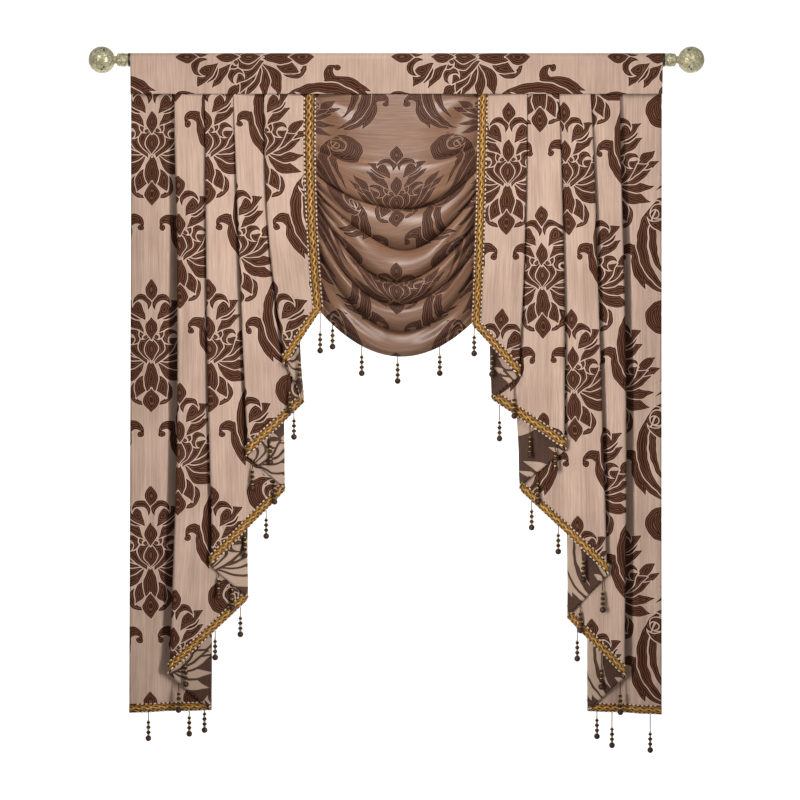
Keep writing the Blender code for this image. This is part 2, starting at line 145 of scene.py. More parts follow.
class Fold(NamedTuple):
    """One fold line or free edge of a tail: how far out it is at the seam, half way down and at its foot, its
    foot's drop, how far it stands behind the middle plane at the seam and low down, its turn (1 outer fold,
    -1 inner fold, 0 free edge), and for the start of a front face its flat distance from the cloth's outer
    edge."""

    name: str
    out_top: float
    out_middle: float
    out_foot: float
    foot_drop: float
    stand_top: float
    stand_low: float
    turn: int
    flat: float


LEFT_FOLDS = (
    Fold("outer edge", 750, 753, 756, 1845, 5.5, 9, 0, 0),
    Fold("inner 0", 518, 521, 524, 1839, 5.5, 15, -1, 0),
    Fold("outer 1", 626, 618, 640, 1734, -5.5, -13, 1, 358),
    Fold("inner 1", 411, 415, 421, 1520, 5.5, 12, -1, 0),
    Fold("outer 2", 541, 532, 521, 1432, -5.5, -15, 1, 653),
    Fold("inner 2", 332, 325, 316, 1212, 5.5, 10, -1, 0),
    Fold("outer 3", 460, 442, 418, 1119, -5.5, -17, 1, 963),
    Fold("inner 3", 301, 284, 262, 966, 5.5, 8, -1, 0),
    Fold("outer 4", 374, 360, 312, 864, -5.5, -17, 1, 1252),
    Fold("leading edge", 227, 226, 208, 701, -1.1, -4, 0, 0),
)
RIGHT_FOLDS = (
    Fold("outer edge", 750, 750, 750, 1850, 5.5, 9, 0, 0),
    Fold("inner 0", 538, 538, 541, 1842, 5.5, 15, -1, 0),
    Fold("outer 1", 630, 645, 643, 1743, -5.5, -10, 1, 352),
    Fold("inner 1", 472, 479, 484, 1576, 5.5, 12, -1, 0),
    Fold("outer 2", 547, 574, 592, 1455, -5.5, -20, 1, 661),
    Fold("inner 2", 307, 323, 349, 1209, 5.5, 11, -1, 0),
    Fold("outer 3", 458, 470, 473, 1102, -5.5, -19, 1, 975),
    Fold("inner 3", 257, 261, 269, 955, 5.5, 8, -1, 0),
    Fold("outer 4", 368, 364, 343, 895, -5.5, -17, 1, 1271),
    Fold("leading edge", 232, 225, 213, 749, -1.1, -4, 0, 0),
)
TAIL_FOLDS = {"left": LEFT_FOLDS, "right": RIGHT_FOLDS}
TAIL_SIDE = {"left": -1, "right": 1}
# A palmette's axis, counted on the flat cloth from its outer edge, and the drop of its tip.
PALMETTE_AXIS = {"left": 59, "right": 141}
PALMETTE_TIP = {"left": 37, "right": 121}


class Wave(NamedTuple):
    """A wave over a whole tail, in radians for each metre: its depth, how fast it turns across the tail, how
    far and how fast its lines wander on the way down, and how fast it swells and sinks down the tail, along
    slanting lines. The two shifts make the left and right tails differ."""

    depth: float
    across: float
    shift: float
    wander: float
    wander_down: float
    wander_shift: float
    down: float
    slant: float
    start: float


TAIL_WAVES = (
    Wave(0.0021, 31, 1.3, 1.7, 2.1, 0, 4.3, 9, 0),
    Wave(0.0008, 118, 0, 2.2, 3.3, 1, 6.1, 23, 1),
)


class Crease(NamedTuple):
    """One soft trough on a tail's front faces, or a ridge where the depth is negative: the out and drop of
    its two ends, its half width and its depth."""

    out_start: float
    drop_start: float
    out_end: float
    drop_end: float
    width: float
    depth: float


LEFT_CREASES = (
    Crease(268, 140, 308, 205, 11, 4.0),
    Crease(262, 205, 300, 268, 10, -3.0),
    Crease(262, 262, 296, 330, 11, 3.5),
    Crease(300, 470, 322, 640, 14, 3.0),
    Crease(398, 300, 392, 700, 16, -3.5),
    Crease(428, 760, 404, 1010, 14, 2.0),
    Crease(584, 240, 580, 900, 18, -3.0),
    Crease(566, 1060, 588, 1480, 17, 4.5),
    Crease(694, 1180, 702, 1800, 24, 6.0),
    Crease(728, 260, 722, 800, 16, -3.5),
)
RIGHT_CREASES = (
    Crease(266, 130, 306, 198, 11, 4.0),
    Crease(262, 214, 304, 262, 10, -3.0),
    Crease(268, 330, 318, 420, 13, 3.5),
    Crease(410, 170, 404, 560, 17, 4.0),
    Crease(330, 560, 316, 800, 15, -3.5),
    Crease(432, 700, 440, 1000, 15, 4.0),
    Crease(520, 300, 530, 900, 16, -3.0),
    Crease(548, 1080, 566, 1330, 15, 4.5),
    Crease(700, 900, 704, 1790, 23, 6.5),
    Crease(676, 240, 668, 760, 15, -3.5),
)
TAIL_CREASES = {"left": LEFT_CREASES, "right": RIGHT_CREASES}


class SwagRow(NamedTuple):
    """One level line of the swag: its drop at the left side, the middle and the right side, and how far its
    middle reaches in front of the rod's axis."""

    name: str
    left_drop: float
    middle_drop: float
    right_drop: float
    reach: float


SWAG_ROWS = (
    SwagRow("top edge", 89, 89, 89, 6.6),
    SwagRow("seam", 99, 99, 99, 6.8),
    SwagRow("smooth front", 215, 262, 205, 24),
    SwagRow("roll 1", 285, 385, 272, 47),
    SwagRow("crease 1", 308, 430, 297, 31),
    SwagRow("roll 2", 338, 488, 336, 60),
    SwagRow("crease 2", 364, 528, 367, 41),
    SwagRow("roll 3", 386, 584, 418, 72),
    SwagRow("crease 3", 412, 621, 458, 51),
    SwagRow("roll 4", 438, 662, 492, 80),
    SwagRow("crease 4", 466, 695, 522, 58),
    SwagRow("roll 5", 496, 734, 556, 84),
    SwagRow("crease 5", 531, 771, 593, 62),
    SwagRow("hem roll", 655, 822, 680, 79),
    SwagRow("hem", 712, 839, 734, 66),
)


class SideCrease(NamedTuple):
    """A short crease that runs in from both sides of the swag: its row, how far across it begins, from 0 in
    the middle to 1 at a side, and its depth."""

    row: float
    begin: float
    depth: float


SIDE_CREASES = (
    SideCrease(2.35, 0.25, 8.0),
    SideCrease(5.1, 0.42, 9.0),
    SideCrease(7.0, 0.40, 11.0),
    SideCrease(9.0, 0.38, 11.0),
    SideCrease(12.55, 0.15, 9.0),
    SideCrease(13.3, 0.35, 7.0),
)


class Drop(NamedTuple):
    """One bead drop: the section of the tail's hem that it hangs from, counted from the outer edge, its place
    along that section from 0 at the outer fold or edge, and how far it reaches below the hem."""

    section: int
    share: float
    reach: float


LEFT_DROPS = (
    Drop(0, 0.24, 84), Drop(0, 0.75, 75), Drop(0, 0.94, 66), Drop(1, 0.80, 86), Drop(2, 0.18, 84),
    Drop(2, 0.58, 86), Drop(2, 0.93, 88), Drop(3, 0.42, 74), Drop(3, 0.84, 76), Drop(4, 0.45, 78),
    Drop(4, 0.76, 84), Drop(5, 0.25, 72), Drop(5, 0.93, 88), Drop(6, 0.38, 88), Drop(6, 0.85, 80),
    Drop(7, 0.86, 118), Drop(8, 0.36, 118), Drop(8, 0.93, 120),
)
RIGHT_DROPS = (
    Drop(0, 0.16, 112), Drop(0, 0.69, 104), Drop(0, 0.90, 80), Drop(1, 0.93, 96), Drop(2, 0.40, 106),
    Drop(2, 0.86, 96), Drop(3, 0.30, 84), Drop(3, 0.93, 92), Drop(4, 0.26, 92), Drop(4, 0.57, 82),
    Drop(4, 0.89, 84), Drop(5, 0.40, 92), Drop(6, 0.10, 86), Drop(6, 0.47, 94), Drop(6, 0.92, 106),
    Drop(7, 0.90, 112), Drop(8, 0.55, 88), Drop(8, 0.95, 84),
)
TAIL_DROPS = {"left": LEFT_DROPS, "right": RIGHT_DROPS}


class SwagDrop(NamedTuple):
    """One bead drop of the swag: its place across the hem from -1 at the left to 1, and its reach below the
    hem."""

    across: float
    reach: float


SWAG_DROPS = (SwagDrop(-0.84, 72), SwagDrop(-0.46, 86), SwagDrop(0.0, 78), SwagDrop(0.54, 84))


class Bead(NamedTuple):
    """One bead on a drop: the distance of its middle above the drop's end, its radius and half its height as
    shares of the end ball's radius, and its material's place in the drop's list."""

    above_end: float
    radius: float
    half_height: float
    material: int


END_BALL, SPACER, THREAD = 0, 1, 2
BEADS = (
    Bead(8.4, 1.0, 1.0, END_BALL),
    Bead(18.4, 0.50, 0.24, SPACER),
    Bead(25.2, 0.76, 0.60, END_BALL),
    Bead(32.4, 0.48, 0.30, SPACER),
    Bead(39.6, 0.76, 0.60, END_BALL),
    Bead(46.8, 0.46, 0.30, SPACER),
    Bead(53.2, 0.64, 0.50, END_BALL),
    Bead(58.8, 0.38, 0.26, SPACER),
)


class Turning(NamedTuple):
    """One ring of a finial's collar and neck: its distance from the middle of the valance and its radius."""

    offset: float
    radius: float


# The collar's first rings, where it meets the heading, take the dark material: a painted shadow.
SHADOW_RINGS = 3
COLLAR_OUTLINE = (
    Turning(750.8, 17.7), Turning(751.0, 18.9), Turning(752.0, 19.3), Turning(756.6, 19.3),
    Turning(757.6, 18.3), Turning(762.2, 18.6), Turning(763.2, 17.2), Turning(764.6, 17.2),
    Turning(765.4, 18.8), Turning(777.6, 18.9), Turning(778.8, 17.2), Turning(780.2, 17.2),
    Turning(781.4, 18.7), Turning(785.4, 18.0), Turning(788.0, 15.6), Turning(789.4, 12.0),
    Turning(790.4, 10.4), Turning(792.4, 11.0), Turning(794.2, 10.4), Turning(795.4, 9.0),
)


class Stud(NamedTuple):
    """One small dark stud on a finial's ball: its place along the axis towards the rod as a share of the
    ball's radius, and its degrees round the axis from the front."""

    along: float
    around: float


STUDS = (
    Stud(0.06, 53), Stud(0.24, 41), Stud(0.06, -53), Stud(0.24, -41),
    Stud(0.06, 127), Stud(0.24, 139), Stud(0.06, -127), Stud(0.24, -139),
)


class Lamp(NamedTuple):
    """A soft light: its place, the point that it shines at, its width and height, and how far its beam opens,
    in degrees. Places and points are for the right side, and mirrored for the left."""

    place: tuple
    target: tuple
    sizes: tuple
    spread: float


SWAG_LAMP = Lamp((0.0, -1.0, 0.60), (0.0, 0.0, -0.40), (0.5, 0.25), 80)
SIDE_LAMPS = {
    "cross": Lamp((-0.30, -1.2, -0.90), (0.62, 0.0, -0.92), (0.18, 2.0), 60),
    "finial": Lamp((1.05, -1.0, 0.22), (0.83, 0.0, 0.0), (0.16, 0.16), 50),
    "backdrop": Lamp((2.6, 1.2, -0.6), (2.6, 2.2, -0.9), (1.6, 1.6), 180),
}


class Petal(NamedTuple):
    """A leaf with two pointed ends: where it starts and ends across and down from the palmette's tip, half
    its width, all in the pattern's unit, and how far its ends curl to one side in half widths."""

    across_start: float
    down_start: float
    across_end: float
    down_end: float
    half_width: float
    curl: float = 0.0


class Scroll(NamedTuple):
    """A scroll: what is left of a disc when a second one is cut out of it. Both are centres and radii."""

    across: float
    down: float
    radius: float
    cut_across: float
    cut_down: float
    cut_radius: float


class Berry(NamedTuple):
    """A disc, by its centre and radius."""

    across: float
    down: float
    radius: float


# The damask: its repeat in metres and in the pattern's unit, half a column and the gap round a figure in
# that unit, then the petals' points, the contour lines, the wobble, the threads and a brown patina.
PATTERN_HEIGHT = 0.5833
UNITS_IN_HEIGHT = 206.5
HALF_COLUMN_UNITS = 52.0
OUTLINE_GAP_UNITS = 1.15
PETAL_POINT = 0.4
LINE_PITCH = 0.0058
WOBBLE, WOBBLE_SCALE = 0.0055, 38
THREAD_SCALE, BAND_SCALE = (900, 16), (210, 5)
PATINA = 0.30, 0.19, 0.13
# The paints, each with its cells' scale, its shares of cracks and of pale flakes, whose near-white colour
# is a painted glint, and its relief, and then the flakes' scale and the painted glint colour.
CRACKLED_PAINT, SMOOTH_PAINT = (190, 0.75, 0.7, 0.0009), (60, 0.1, 0.04, 0.0002)
FLAKE_SCALE, FLAKE_GLINT_COLOUR = 330, (0.95, 0.93, 0.76)
# Places in the braid's list of materials.
BRAID_GROUND, GOLD_CORD, CREAM_STITCH, PALE_CORD = 0, 1, 2, 3
# The figures. HOOK is one shape, which lies lowest. Each of the others is laid over all before it, and
# those of OVER_THE_EDGE cross the line between two repeats.
HOOK = (
    Scroll(17.5, 150.6, 9.9, 14.2, 156.6, 6.8),
    Berry(10.6, 154.4, 3.3),
    Petal(21, 141, 32, 187, 6.8, 0.25),
    Petal(23, 164, 60, 194, 6.4, 0.4),
)
OVER_THE_EDGE = (
    Scroll(24, 36.25, 55, 1.8, 34.95, 66.9),
    Scroll(14.2, 32.35, 52.8, -17, 32.25, 76.6),
    Scroll(51, 8, 17.2, 60.5, 4.5, 11.2),
    Scroll(58.3, 5.5, 7.0, 61.2, 7.6, 5.0),
)
FIGURES = (
    Scroll(80, 139.5, 55, 102.2, 138.2, 66.9),
    Scroll(89.8, 135.6, 52.8, 121, 135.5, 76.6),
    Scroll(53, 111.25, 17.2, 43.5, 107.75, 11.2),
    Scroll(45.7, 108.75, 7.0, 42.8, 110.85, 5.0),
    Scroll(9, 112.5, 12.8, 5.2, 110.5, 12),
    Petal(26, 72, 47, 56, 4.2, -0.5),
    Petal(25, 64, 42, 46, 5.0, -0.5),
    Petal(3, 84, 37, 103, 7.2, 0.7),
    Petal(4, 83, 43, 86, 5.2, 0.7),
    Petal(2, 82, 41, 69, 5.2, 0.6),
    Petal(7, 78, 34, 59, 5.6, -0.5),
    Petal(1, 82, 24, 55, 7.6, -0.5),
    Petal(1, 92, 17, 117, 6.6, -0.35),
    Petal(0, 79, 0, 120, 7.2),
    Petal(0, 108, 0, 133, 8.0),
    Scroll(19, 57, 7.6, 22.2, 60.2, 6.0),
    Petal(0, 50, 0, 83, 13.0),
    Petal(0, 58, 0, 81, 6.4),
    Scroll(7.4, 54.5, 4.6, 5.6, 57.2, 3.4),
    Petal(6, 51, 30, 33, 5.0, -0.4),
    Petal(6, 40, 27, 31, 3.6, 0.5),
    Petal(4, 38, 28, 18, 6.4, -0.5),
    Petal(0, 60, 0, 37, 6.0),
    Scroll(9.6, 23.5, 9.2, 11.6, 28.6, 8.2),
    Petal(0, 21, 0, -1, 6.6),
)


def pattern_metres(units):
    """Metres from the pattern's unit."""
    return units * PATTERN_HEIGHT / UNITS_IN_HEIGHT


HALF_COLUMN = pattern_metres(HALF_COLUMN_UNITS)


def length_prop(name, description, default):
    return FloatProperty(name=name, description=description, default=default, min=0.0, unit="LENGTH")


def number_prop(name, description, default):
    return FloatProperty(name=name, description=description, default=default, min=0.0)


def count_prop(name, description, default, fewest):
    return IntProperty(name=name, description=description, default=default, min=fewest, max=400)


def colour_prop(name, description, default):
    return FloatVectorProperty(
        name=name, description=description, default=default, subtype="COLOR", size=3, min=0.0, max=1.0)


class ClothSettings(PropertyGroup):
    thickness: length_prop("Cloth thickness", "Thickness of every cloth", 0.0012)
    tail_rows: count_prop("Tail rows", "Rows of points down a tail", 150, 20)
    face_bow: length_prop("Pleat bow", "How far a pleat's face bows forward", 0.0032)
    pucker: length_prop("Seam pucker", "Depth of the small gathers at the seam", 0.0005)
    cowl_depth: length_prop("Cowl depth", "How much deeper the swag's creases go than its solid's", 0.034)
    swag_across: count_prop("Swag columns", "Columns of points across the swag", 130, 20)
    swag_down: count_prop("Swag rows", "Rows of points down the swag", 280, 40)


class DamaskSettings(PropertyGroup):
    ground: colour_prop("Ground", "Light ground of the damask", (0.575, 0.405, 0.315))
    ground_streak: colour_prop("Ground streaks", "Darker threads in the ground", (0.42, 0.285, 0.217))
    figure: colour_prop("Figure", "Brown figures of the damask", (0.043, 0.011, 0.004))
    figure_line: colour_prop("Figure lines", "Lighter contour lines in the figures", (0.180, 0.080, 0.045))
    outline: colour_prop("Outline", "Dark edge of each figure", (0.026, 0.007, 0.003))
    satin: colour_prop("Satin ground", "Ground of the swag, laid crosswise", (0.290, 0.152, 0.090))
    satin_streak: colour_prop("Satin streaks", "Darker threads in the swag's ground", (0.165, 0.083, 0.049))
    reverse: colour_prop("Reverse figures", "Pale figures on the cloth's reverse", (0.48, 0.34, 0.255))
    reverse_ground: colour_prop("Reverse ground", "Brown ground of the reverse", (0.085, 0.040, 0.025))


class TrimSettings(PropertyGroup):
    braid_width: length_prop("Braid width", "Width of the braid", 0.025)
    braid_thickness: length_prop("Braid thickness", "Thickness of the woven band", 0.0012)
    cord_radius: length_prop("Cord radius", "Radius of each cord of the braid", 0.0025)
    cord_wave: length_prop("Cord wave", "Length of one wave of a cord", 0.024)
    stitch_pitch: length_prop("Stitch pitch", "Distance between the stitches at the edges", 0.0122)
    stitch_radius: length_prop("Stitch radius", "Radius of an edge stitch", 0.0022)
    ball_radius: length_prop("End ball radius", "Radius of the ball at a drop's end", 0.0087)
    thread_radius: length_prop("Thread radius", "Radius of a drop's thread", 0.0014)
    gold: colour_prop("Gold cord", "Outer cords of the braid", (0.48, 0.215, 0.038))
    pale_gold: colour_prop("Pale gold cord", "Middle cord of the braid", (0.72, 0.42, 0.105))
    gold_shade: colour_prop("Braid ground", "Woven band under the cords", (0.10, 0.032, 0.006))
    stitch: colour_prop("Stitches", "Cream stitches at the braid's edges", (0.80, 0.64, 0.46))
    bead: colour_prop("Beads", "Dark glossy beads", (0.036, 0.013, 0.008))
    spacer: colour_prop("Spacers", "Gold spacers between the beads", (0.72, 0.52, 0.17))


class FinialSettings(PropertyGroup):
    ball_radius: length_prop("Ball radius", "Radius of a finial's ball", 0.0375)
    sides: count_prop("Sides", "Sides of a turned ring", 72, 16)
    stud_radius: length_prop("Stud radius", "Radius of a stud on the ball", 0.0030)
    paint: colour_prop("Paint", "Champagne paint of rod and finials", (0.55, 0.485, 0.27))
    crackle: colour_prop("Crackle", "Darker lines between the flakes", (0.15, 0.13, 0.065))


class StageSettings(PropertyGroup):
    floor_drop: length_prop("Floor", "Distance of the floor below the rod", 2.6)
    backdrop: colour_prop("Backdrop", "Colour of floor and backdrop", (0.92, 0.92, 0.92))
    swag_power: number_prop("Swag light", "Power of the light above the swag", 3.1)
    cross_power: number_prop("Cross light", "Power of each tall light that crosses to a tail", 4.5)
    finial_power: number_prop("Finial light", "Power of the small light on each finial", 0.36)
    backdrop_power: number_prop("Backdrop light", "Power of each light on the backdrop", 272.0)
    sky: number_prop("Sky", "Strength of the even light all round", 0.29)


def mesh_object(name, points, faces, materials, kinds=None):
    """An object at the origin from an array of points, a list of faces and each face's material place."""
    mesh = bpy.data.meshes.new(name)
    mesh.from_pydata(points.reshape(-1, 3).tolist(), [], faces)
    mesh.update()
    made = bpy.data.objects.new(name, mesh)
    bpy.context.scene.collection.objects.link(made)
    for material in materials:
        mesh.materials.append(material)
    mesh.shade_smooth()
    if kinds is not None:
        mesh.polygons.foreach_set("material_index", np.array(kinds, dtype=np.int32))
    return made


def grid_quads(rows, columns):
    """Quads of a grid stored row by row, facing the side from which rows run down and columns run right."""
    first = np.arange(rows - 1)[:, None] * columns + np.arange(columns - 1)[None, :]
    return np.stack((first, first + columns, first + columns + 1, first + 1), axis=-1).reshape(-1, 4)


def add_flat_map(made, flat):
    """Store each point's place on the flat cloth, in metres, as the UV map named cloth."""
    mesh = made.data
    corners = np.empty(len(mesh.loops), dtype=np.int64)
    mesh.loops.foreach_get("vertex_index", corners)
    layer = mesh.uv_layers.new(name="cloth")
    layer.data.foreach_set("uv", flat.reshape(-1, 2)[corners].astype(np.float32).ravel())


def cloth_object(name, grid, flat, thickness, materials):
    """A sheet round the surface through a grid of points, half its thickness on each side. The second
    material is the cloth's reverse."""
    made = mesh_object(name, grid, grid_quads(*grid.shape[:2]).tolist(), materials)
    add_flat_map(made, flat)
    solidify = made.modifiers.new("Thickness", "SOLIDIFY")
    solidify.thickness = thickness
    solidify.offset = 0.0
    solidify.material_offset = len(materials) - 1
    return made


def carried_rings(path, radii, sides, first, second):
    """Rings of points carried along paths: each path point plus the radius times (cosine times first plus
    sine times second). Shapes: path (..., rings, 3), radii (..., rings). The cross product of first and
    second points along the path, so that faces look outwards."""
    angles = 2 * math.pi * np.arange(sides) / sides
    first = np.broadcast_to(first, path.shape)[..., None, :]
    second = np.broadcast_to(second, path.shape)[..., None, :]
    circle = np.cos(angles)[:, None] * first + np.sin(angles)[:, None] * second
    return path[..., None, :] + radii[..., None, None] * circle


class TurnedParts:
    """Closed shapes made of rings, gathered for one mesh with a material place for each face."""

    def __init__(self):
        self.points, self.faces, self.kinds = [], [], []
        self.count = 0

    def add(self, rings, kind):
        """Add shapes with flat ends from their points (copies, rings, sides, 3), all in one material."""
        self.faces += self.ring_faces(*rings.shape[:3])
        self.kinds += [kind] * (len(self.faces) - len(self.kinds))
        self.points.append(rings.reshape(-1, 3))
        self.count += len(self.points[-1])

    def ring_faces(self, copies, rings, sides):
        """Quads between neighbouring rings, and both end faces, of shapes that follow each other."""
        ring = np.arange(rings - 1)[:, None] * sides
        side = np.arange(sides)[None, :]
        after = (side + 1) % sides
        corners = ring + side, ring + after, ring + sides + after, ring + sides + side
        shift = self.count + np.arange(copies)[:, None, None] * rings * sides
        walls = (np.stack(corners, axis=-1).reshape(-1, 4)[None] + shift).reshape(-1, 4)
        low_end = np.arange(sides)[::-1][None, :] + shift[:, 0]
        high_end = (rings - 1) * sides + side + shift[:, 0]
        return walls.tolist() + low_end.tolist() + high_end.tolist()

    def made(self, name, materials):
        return mesh_object(name, np.concatenate(self.points), self.faces, materials, self.kinds)


class Tail:
    """The folded surface of one tail. At each height the fold lines are rolls, and the cloth runs round them
    like a belt: behind an inner roll and round its inside, then in front of an outer one and round it."""

    def __init__(self, name, bow=0.0, braid_width=0.025):
        self.side = TAIL_SIDE[name]
        self.folds = TAIL_FOLDS[name]
        self.creases = TAIL_CREASES[name]
        self.bow = bow
        self.top = -SEAM_DROP + SEAM_ALLOWANCE
        self.last = len(self.folds) - 1
        self.braid_width = braid_width
        self.feet = np.array([-fold.foot_drop * MM for fold in self.folds])
        self.braid_share = braid_width / ((self.folds[-2].out_foot - self.folds[-1].out_foot) * MM)

    def roll(self, index, z):
        """Out and Y of a fold's roll centre, and its radius, at the heights z. The fold line is a parabola
        through its three places, and the roll opens from its tight radius at the seam."""
        fold = self.folds[index]
        seam, foot = -SEAM_DROP, -fold.foot_drop * MM
        share = (z - seam) / (foot - seam)
        top, middle, low = fold.out_top * MM, fold.out_middle * MM, fold.out_foot * MM
        line = top + (low - top) * share + (middle - (top + low) / 2) * 4 * share * (1 - share)
        opened = 1 - np.exp(np.minimum(z - seam, 0) / FOLD_OPENING_DEPTH)
        radius = (FOLD_RADIUS_TOP + (FOLD_RADIUS_LOW - FOLD_RADIUS_TOP) * opened) * abs(fold.turn)
        stand = (fold.stand_top + (fold.stand_low - fold.stand_top) * opened) * MM
        return line - fold.turn * radius, stand, radius

    def leaving_angle(self, index, z):
        """Direction, from the roll's centre, of the point where the belt leaves it for the next one."""
        out_a, y_a, radius_a = self.roll(index, z)
        out_b, y_b, radius_b = self.roll(index + 1, z)
        distance = np.hypot(out_b - out_a, y_b - y_a)
        heading = np.arctan2(y_b - y_a, out_b - out_a)
        swing = np.arccos((radius_a + radius_b) / distance)
        if index % 2 == 0:
            return np.where(heading < 0, heading + 2 * math.pi, heading) + swing
        return heading - swing

    def on_roll(self, index, share, z):
        """Out, Y and face normal on a roll: the angle turns from where the belt arrives to where it leaves
        it, in even shares."""
        out, y, radius = self.roll(index, z)
        arriving = self.leaving_angle(index - 1, z) + math.pi
        turn = self.folds[index].turn
        sweep = np.mod((self.leaving_angle(index, z) - arriving) * -turn, 2 * math.pi) * -turn
        angle = arriving + sweep * share
        normal = np.stack((np.cos(angle), np.sin(angle)), axis=-1)
        return np.stack((out, y), axis=-1) + radius[..., None] * normal, normal * turn

    def on_stretch(self, index, share, z):
        """Out, Y and face normal between two rolls: a straight line. A front face is bowed forward by a
        squared sine, and dives back as a cosine where the next fold covers it."""
        out_a, y_a, radius_a = self.roll(index, z)
        out_b, y_b, radius_b = self.roll(index + 1, z)
        angle = self.leaving_angle(index, z)
        normal = np.stack((np.cos(angle), np.sin(angle)), axis=-1)
        start = np.stack((out_a, y_a), axis=-1) + radius_a[..., None] * normal
        end = np.stack((out_b, y_b), axis=-1) - radius_b[..., None] * normal
        front = index % 2 == 0
        normal = normal * (1 if front else -1)
        spot = start + (end - start) * share[..., None]
        if front and self.bow:
            opened = 1 - np.exp(np.minimum(z + SEAM_DROP, 0) / FOLD_OPENING_DEPTH)
            swell = self.bow * opened * np.sin(math.pi * share) ** 2
            if index + 2 < self.last:
                out_c, _, radius_c = self.roll(index + 2, z)
                covered = (out_a - out_c - radius_c) / (out_a - out_b)
                near = np.clip(np.abs(share - covered) / DIVE_SHARE, 0, 1)
                swell = swell - FACE_DIVES[index // 2] * opened**2 * (0.5 + 0.5 * np.cos(math.pi * near))
            spot = spot + normal * swell[..., None]
        return spot, normal

    def place(self, index, share, on_roll):
        """Where a point stands between the folds, counted in folds from the outer edge."""
        if on_roll:
            return index + (share - 0.5) * 2 * ARC_SHARE
        low = index + (ARC_SHARE if index > 0 else 0)
        high = index + 1 - (ARC_SHARE if index < self.last - 1 else 0)
        return low + (high - low) * share

    def hem(self, place):
        """Height of the cut hem, which runs straight from foot to foot."""
        return np.interp(place, np.arange(len(self.feet)), self.feet)

    def band_top(self, place):
        """Height of the upper edge of the braid that lies along the hem."""
        return self.hem(place) + self.braid_width * np.where(place >= 1, HEM_SLOPE_WIDTH, 1)

    def world(self, spot, z):
        return np.stack((self.side * spot[..., 0], spot[..., 1], z + 0 * spot[..., 0]), axis=-1)

    def stretches(self, face_steps, return_steps, arc_steps):
        """The cloth from its outer edge inwards: (fold or section, shares, whether they lie on a roll)."""
        for index in range(self.last):
            if index:
                yield index, np.linspace(0, 1, arc_steps + 1), True
            steps = face_steps if index % 2 == 0 else return_steps
            start = 0 if index == 0 else 1
            stop = steps + 1 if index == self.last - 1 else steps
            yield index, np.arange(start, stop) / steps, False

    def surface(self, rows, face_steps=34, return_steps=16, arc_steps=8):
        """Out and Y of the points (rows, columns, 2), their normals in plan, their heights, and their flat
        places across the cloth."""
        down = np.linspace(0, 1, rows)[:, None]
        spots, normals, heights, sections = [], [], [], []
        for index, share, rolled in self.stretches(face_steps, return_steps, arc_steps):
            z = self.top + (self.hem(self.place(index, share, rolled))[None, :] - self.top) * down
            shares = share[None, :] + 0 * z
            spot, normal = (self.on_roll if rolled else self.on_stretch)(index, shares, z)
            spots.append(spot)
            normals.append(normal)
            heights.append(z)
            face = not rolled and index % 2 == 0
            sections += [index if face else -1] * len(share)
        spots, normals = np.concatenate(spots, axis=1), np.concatenate(normals, axis=1)
        heights = np.concatenate(heights, axis=1)
        return spots, normals, heights, self.flat_places(spots, np.array(sections))

    def flat_places(self, spots, sections):
        """Length along the belt, shifted on each front face to the face's flat distance from the outer edge.
        The stretch between two faces is spread evenly between them."""
        step = np.linalg.norm(np.diff(spots, axis=1), axis=-1)
        along = np.concatenate((np.zeros((len(spots), 1)), np.cumsum(step, axis=1)), axis=1)
        flat = along.copy()
        reached = None
        for index in range(0, self.last, 2):
            columns = np.flatnonzero(sections == index)
            first, final = columns[0], columns[-1]
            target = self.folds[index].flat * MM
            if reached is not None:
                before, value = reached
                gap = slice(before, first + 1)
                share = (along[:, gap] - along[:, [before]]) / (along[:, [first]] - along[:, [before]])
                flat[:, gap] = value + (target - value) * share
            flat[:, first:final + 1] = target + along[:, first:final + 1] - along[:, [first]]
            reached = final, flat[:, [final]]
        return flat


def soft_creases(tail, spots, normals, heights):
    """How far the cloth stands out of its plain folds. Slow and fine waves along the height differ from pleat
    to pleat, and the table's troughs and ridges, bell-shaped across, lie on the front faces. Both fade out at
    the seam, the hem and the braid."""
    out = spots[..., 0]
    placed, waves = np.zeros_like(out), np.zeros_like(out)
    for wave in TAIL_WAVES:
        wander = wave.wander * np.sin(heights * wave.wander_down + tail.side * wave.wander_shift)
        lines = np.sin(out * wave.across + tail.side * wave.shift + wander)
        waves = waves + wave.depth * lines * np.sin(heights * wave.down + out * wave.slant + wave.start)
    for crease in tail.creases:
        start = np.array((crease.out_start, -crease.drop_start)) * MM
        along = np.array((crease.out_end, -crease.drop_end)) * MM - start
        away = np.stack((out, heights), axis=-1) - start
        share = np.clip(away @ along / (along @ along), 0, 1)
        distance = np.linalg.norm(away - share[..., None] * along, axis=-1)
        placed = placed - crease.depth * MM * np.exp(-((distance / (crease.width * MM)) ** 2))
    facing = np.clip((-normals[..., 1] - FACING_FROM) / FACING_RANGE, 0, 1)
    fade = np.clip((-SEAM_DROP - heights) / SEAM_CALM, 0, 1)
    fade = fade * np.clip((heights - heights[-1:]) / HEM_CALM - 0.5, 0, 1)
    fade = fade * np.clip((out - out[:, -1:]) / EDGE_CALM - 1, 0, 1)
    return (waves + placed * facing) * fade


def tail_points(tail, rows):
    """The tail's points with their soft creases, and each point's flat place across the cloth."""
    spots, normals, heights, flat = tail.surface(rows)
    spots = spots + normals * soft_creases(tail, spots, normals, heights)[..., None]
    return tail.world(spots, heights), flat


def facing_front(grid, side):
    """Turn the grid's columns round on the right, so that both tails' faces point the same way."""
    return grid[:, ::-1] if side > 0 else grid


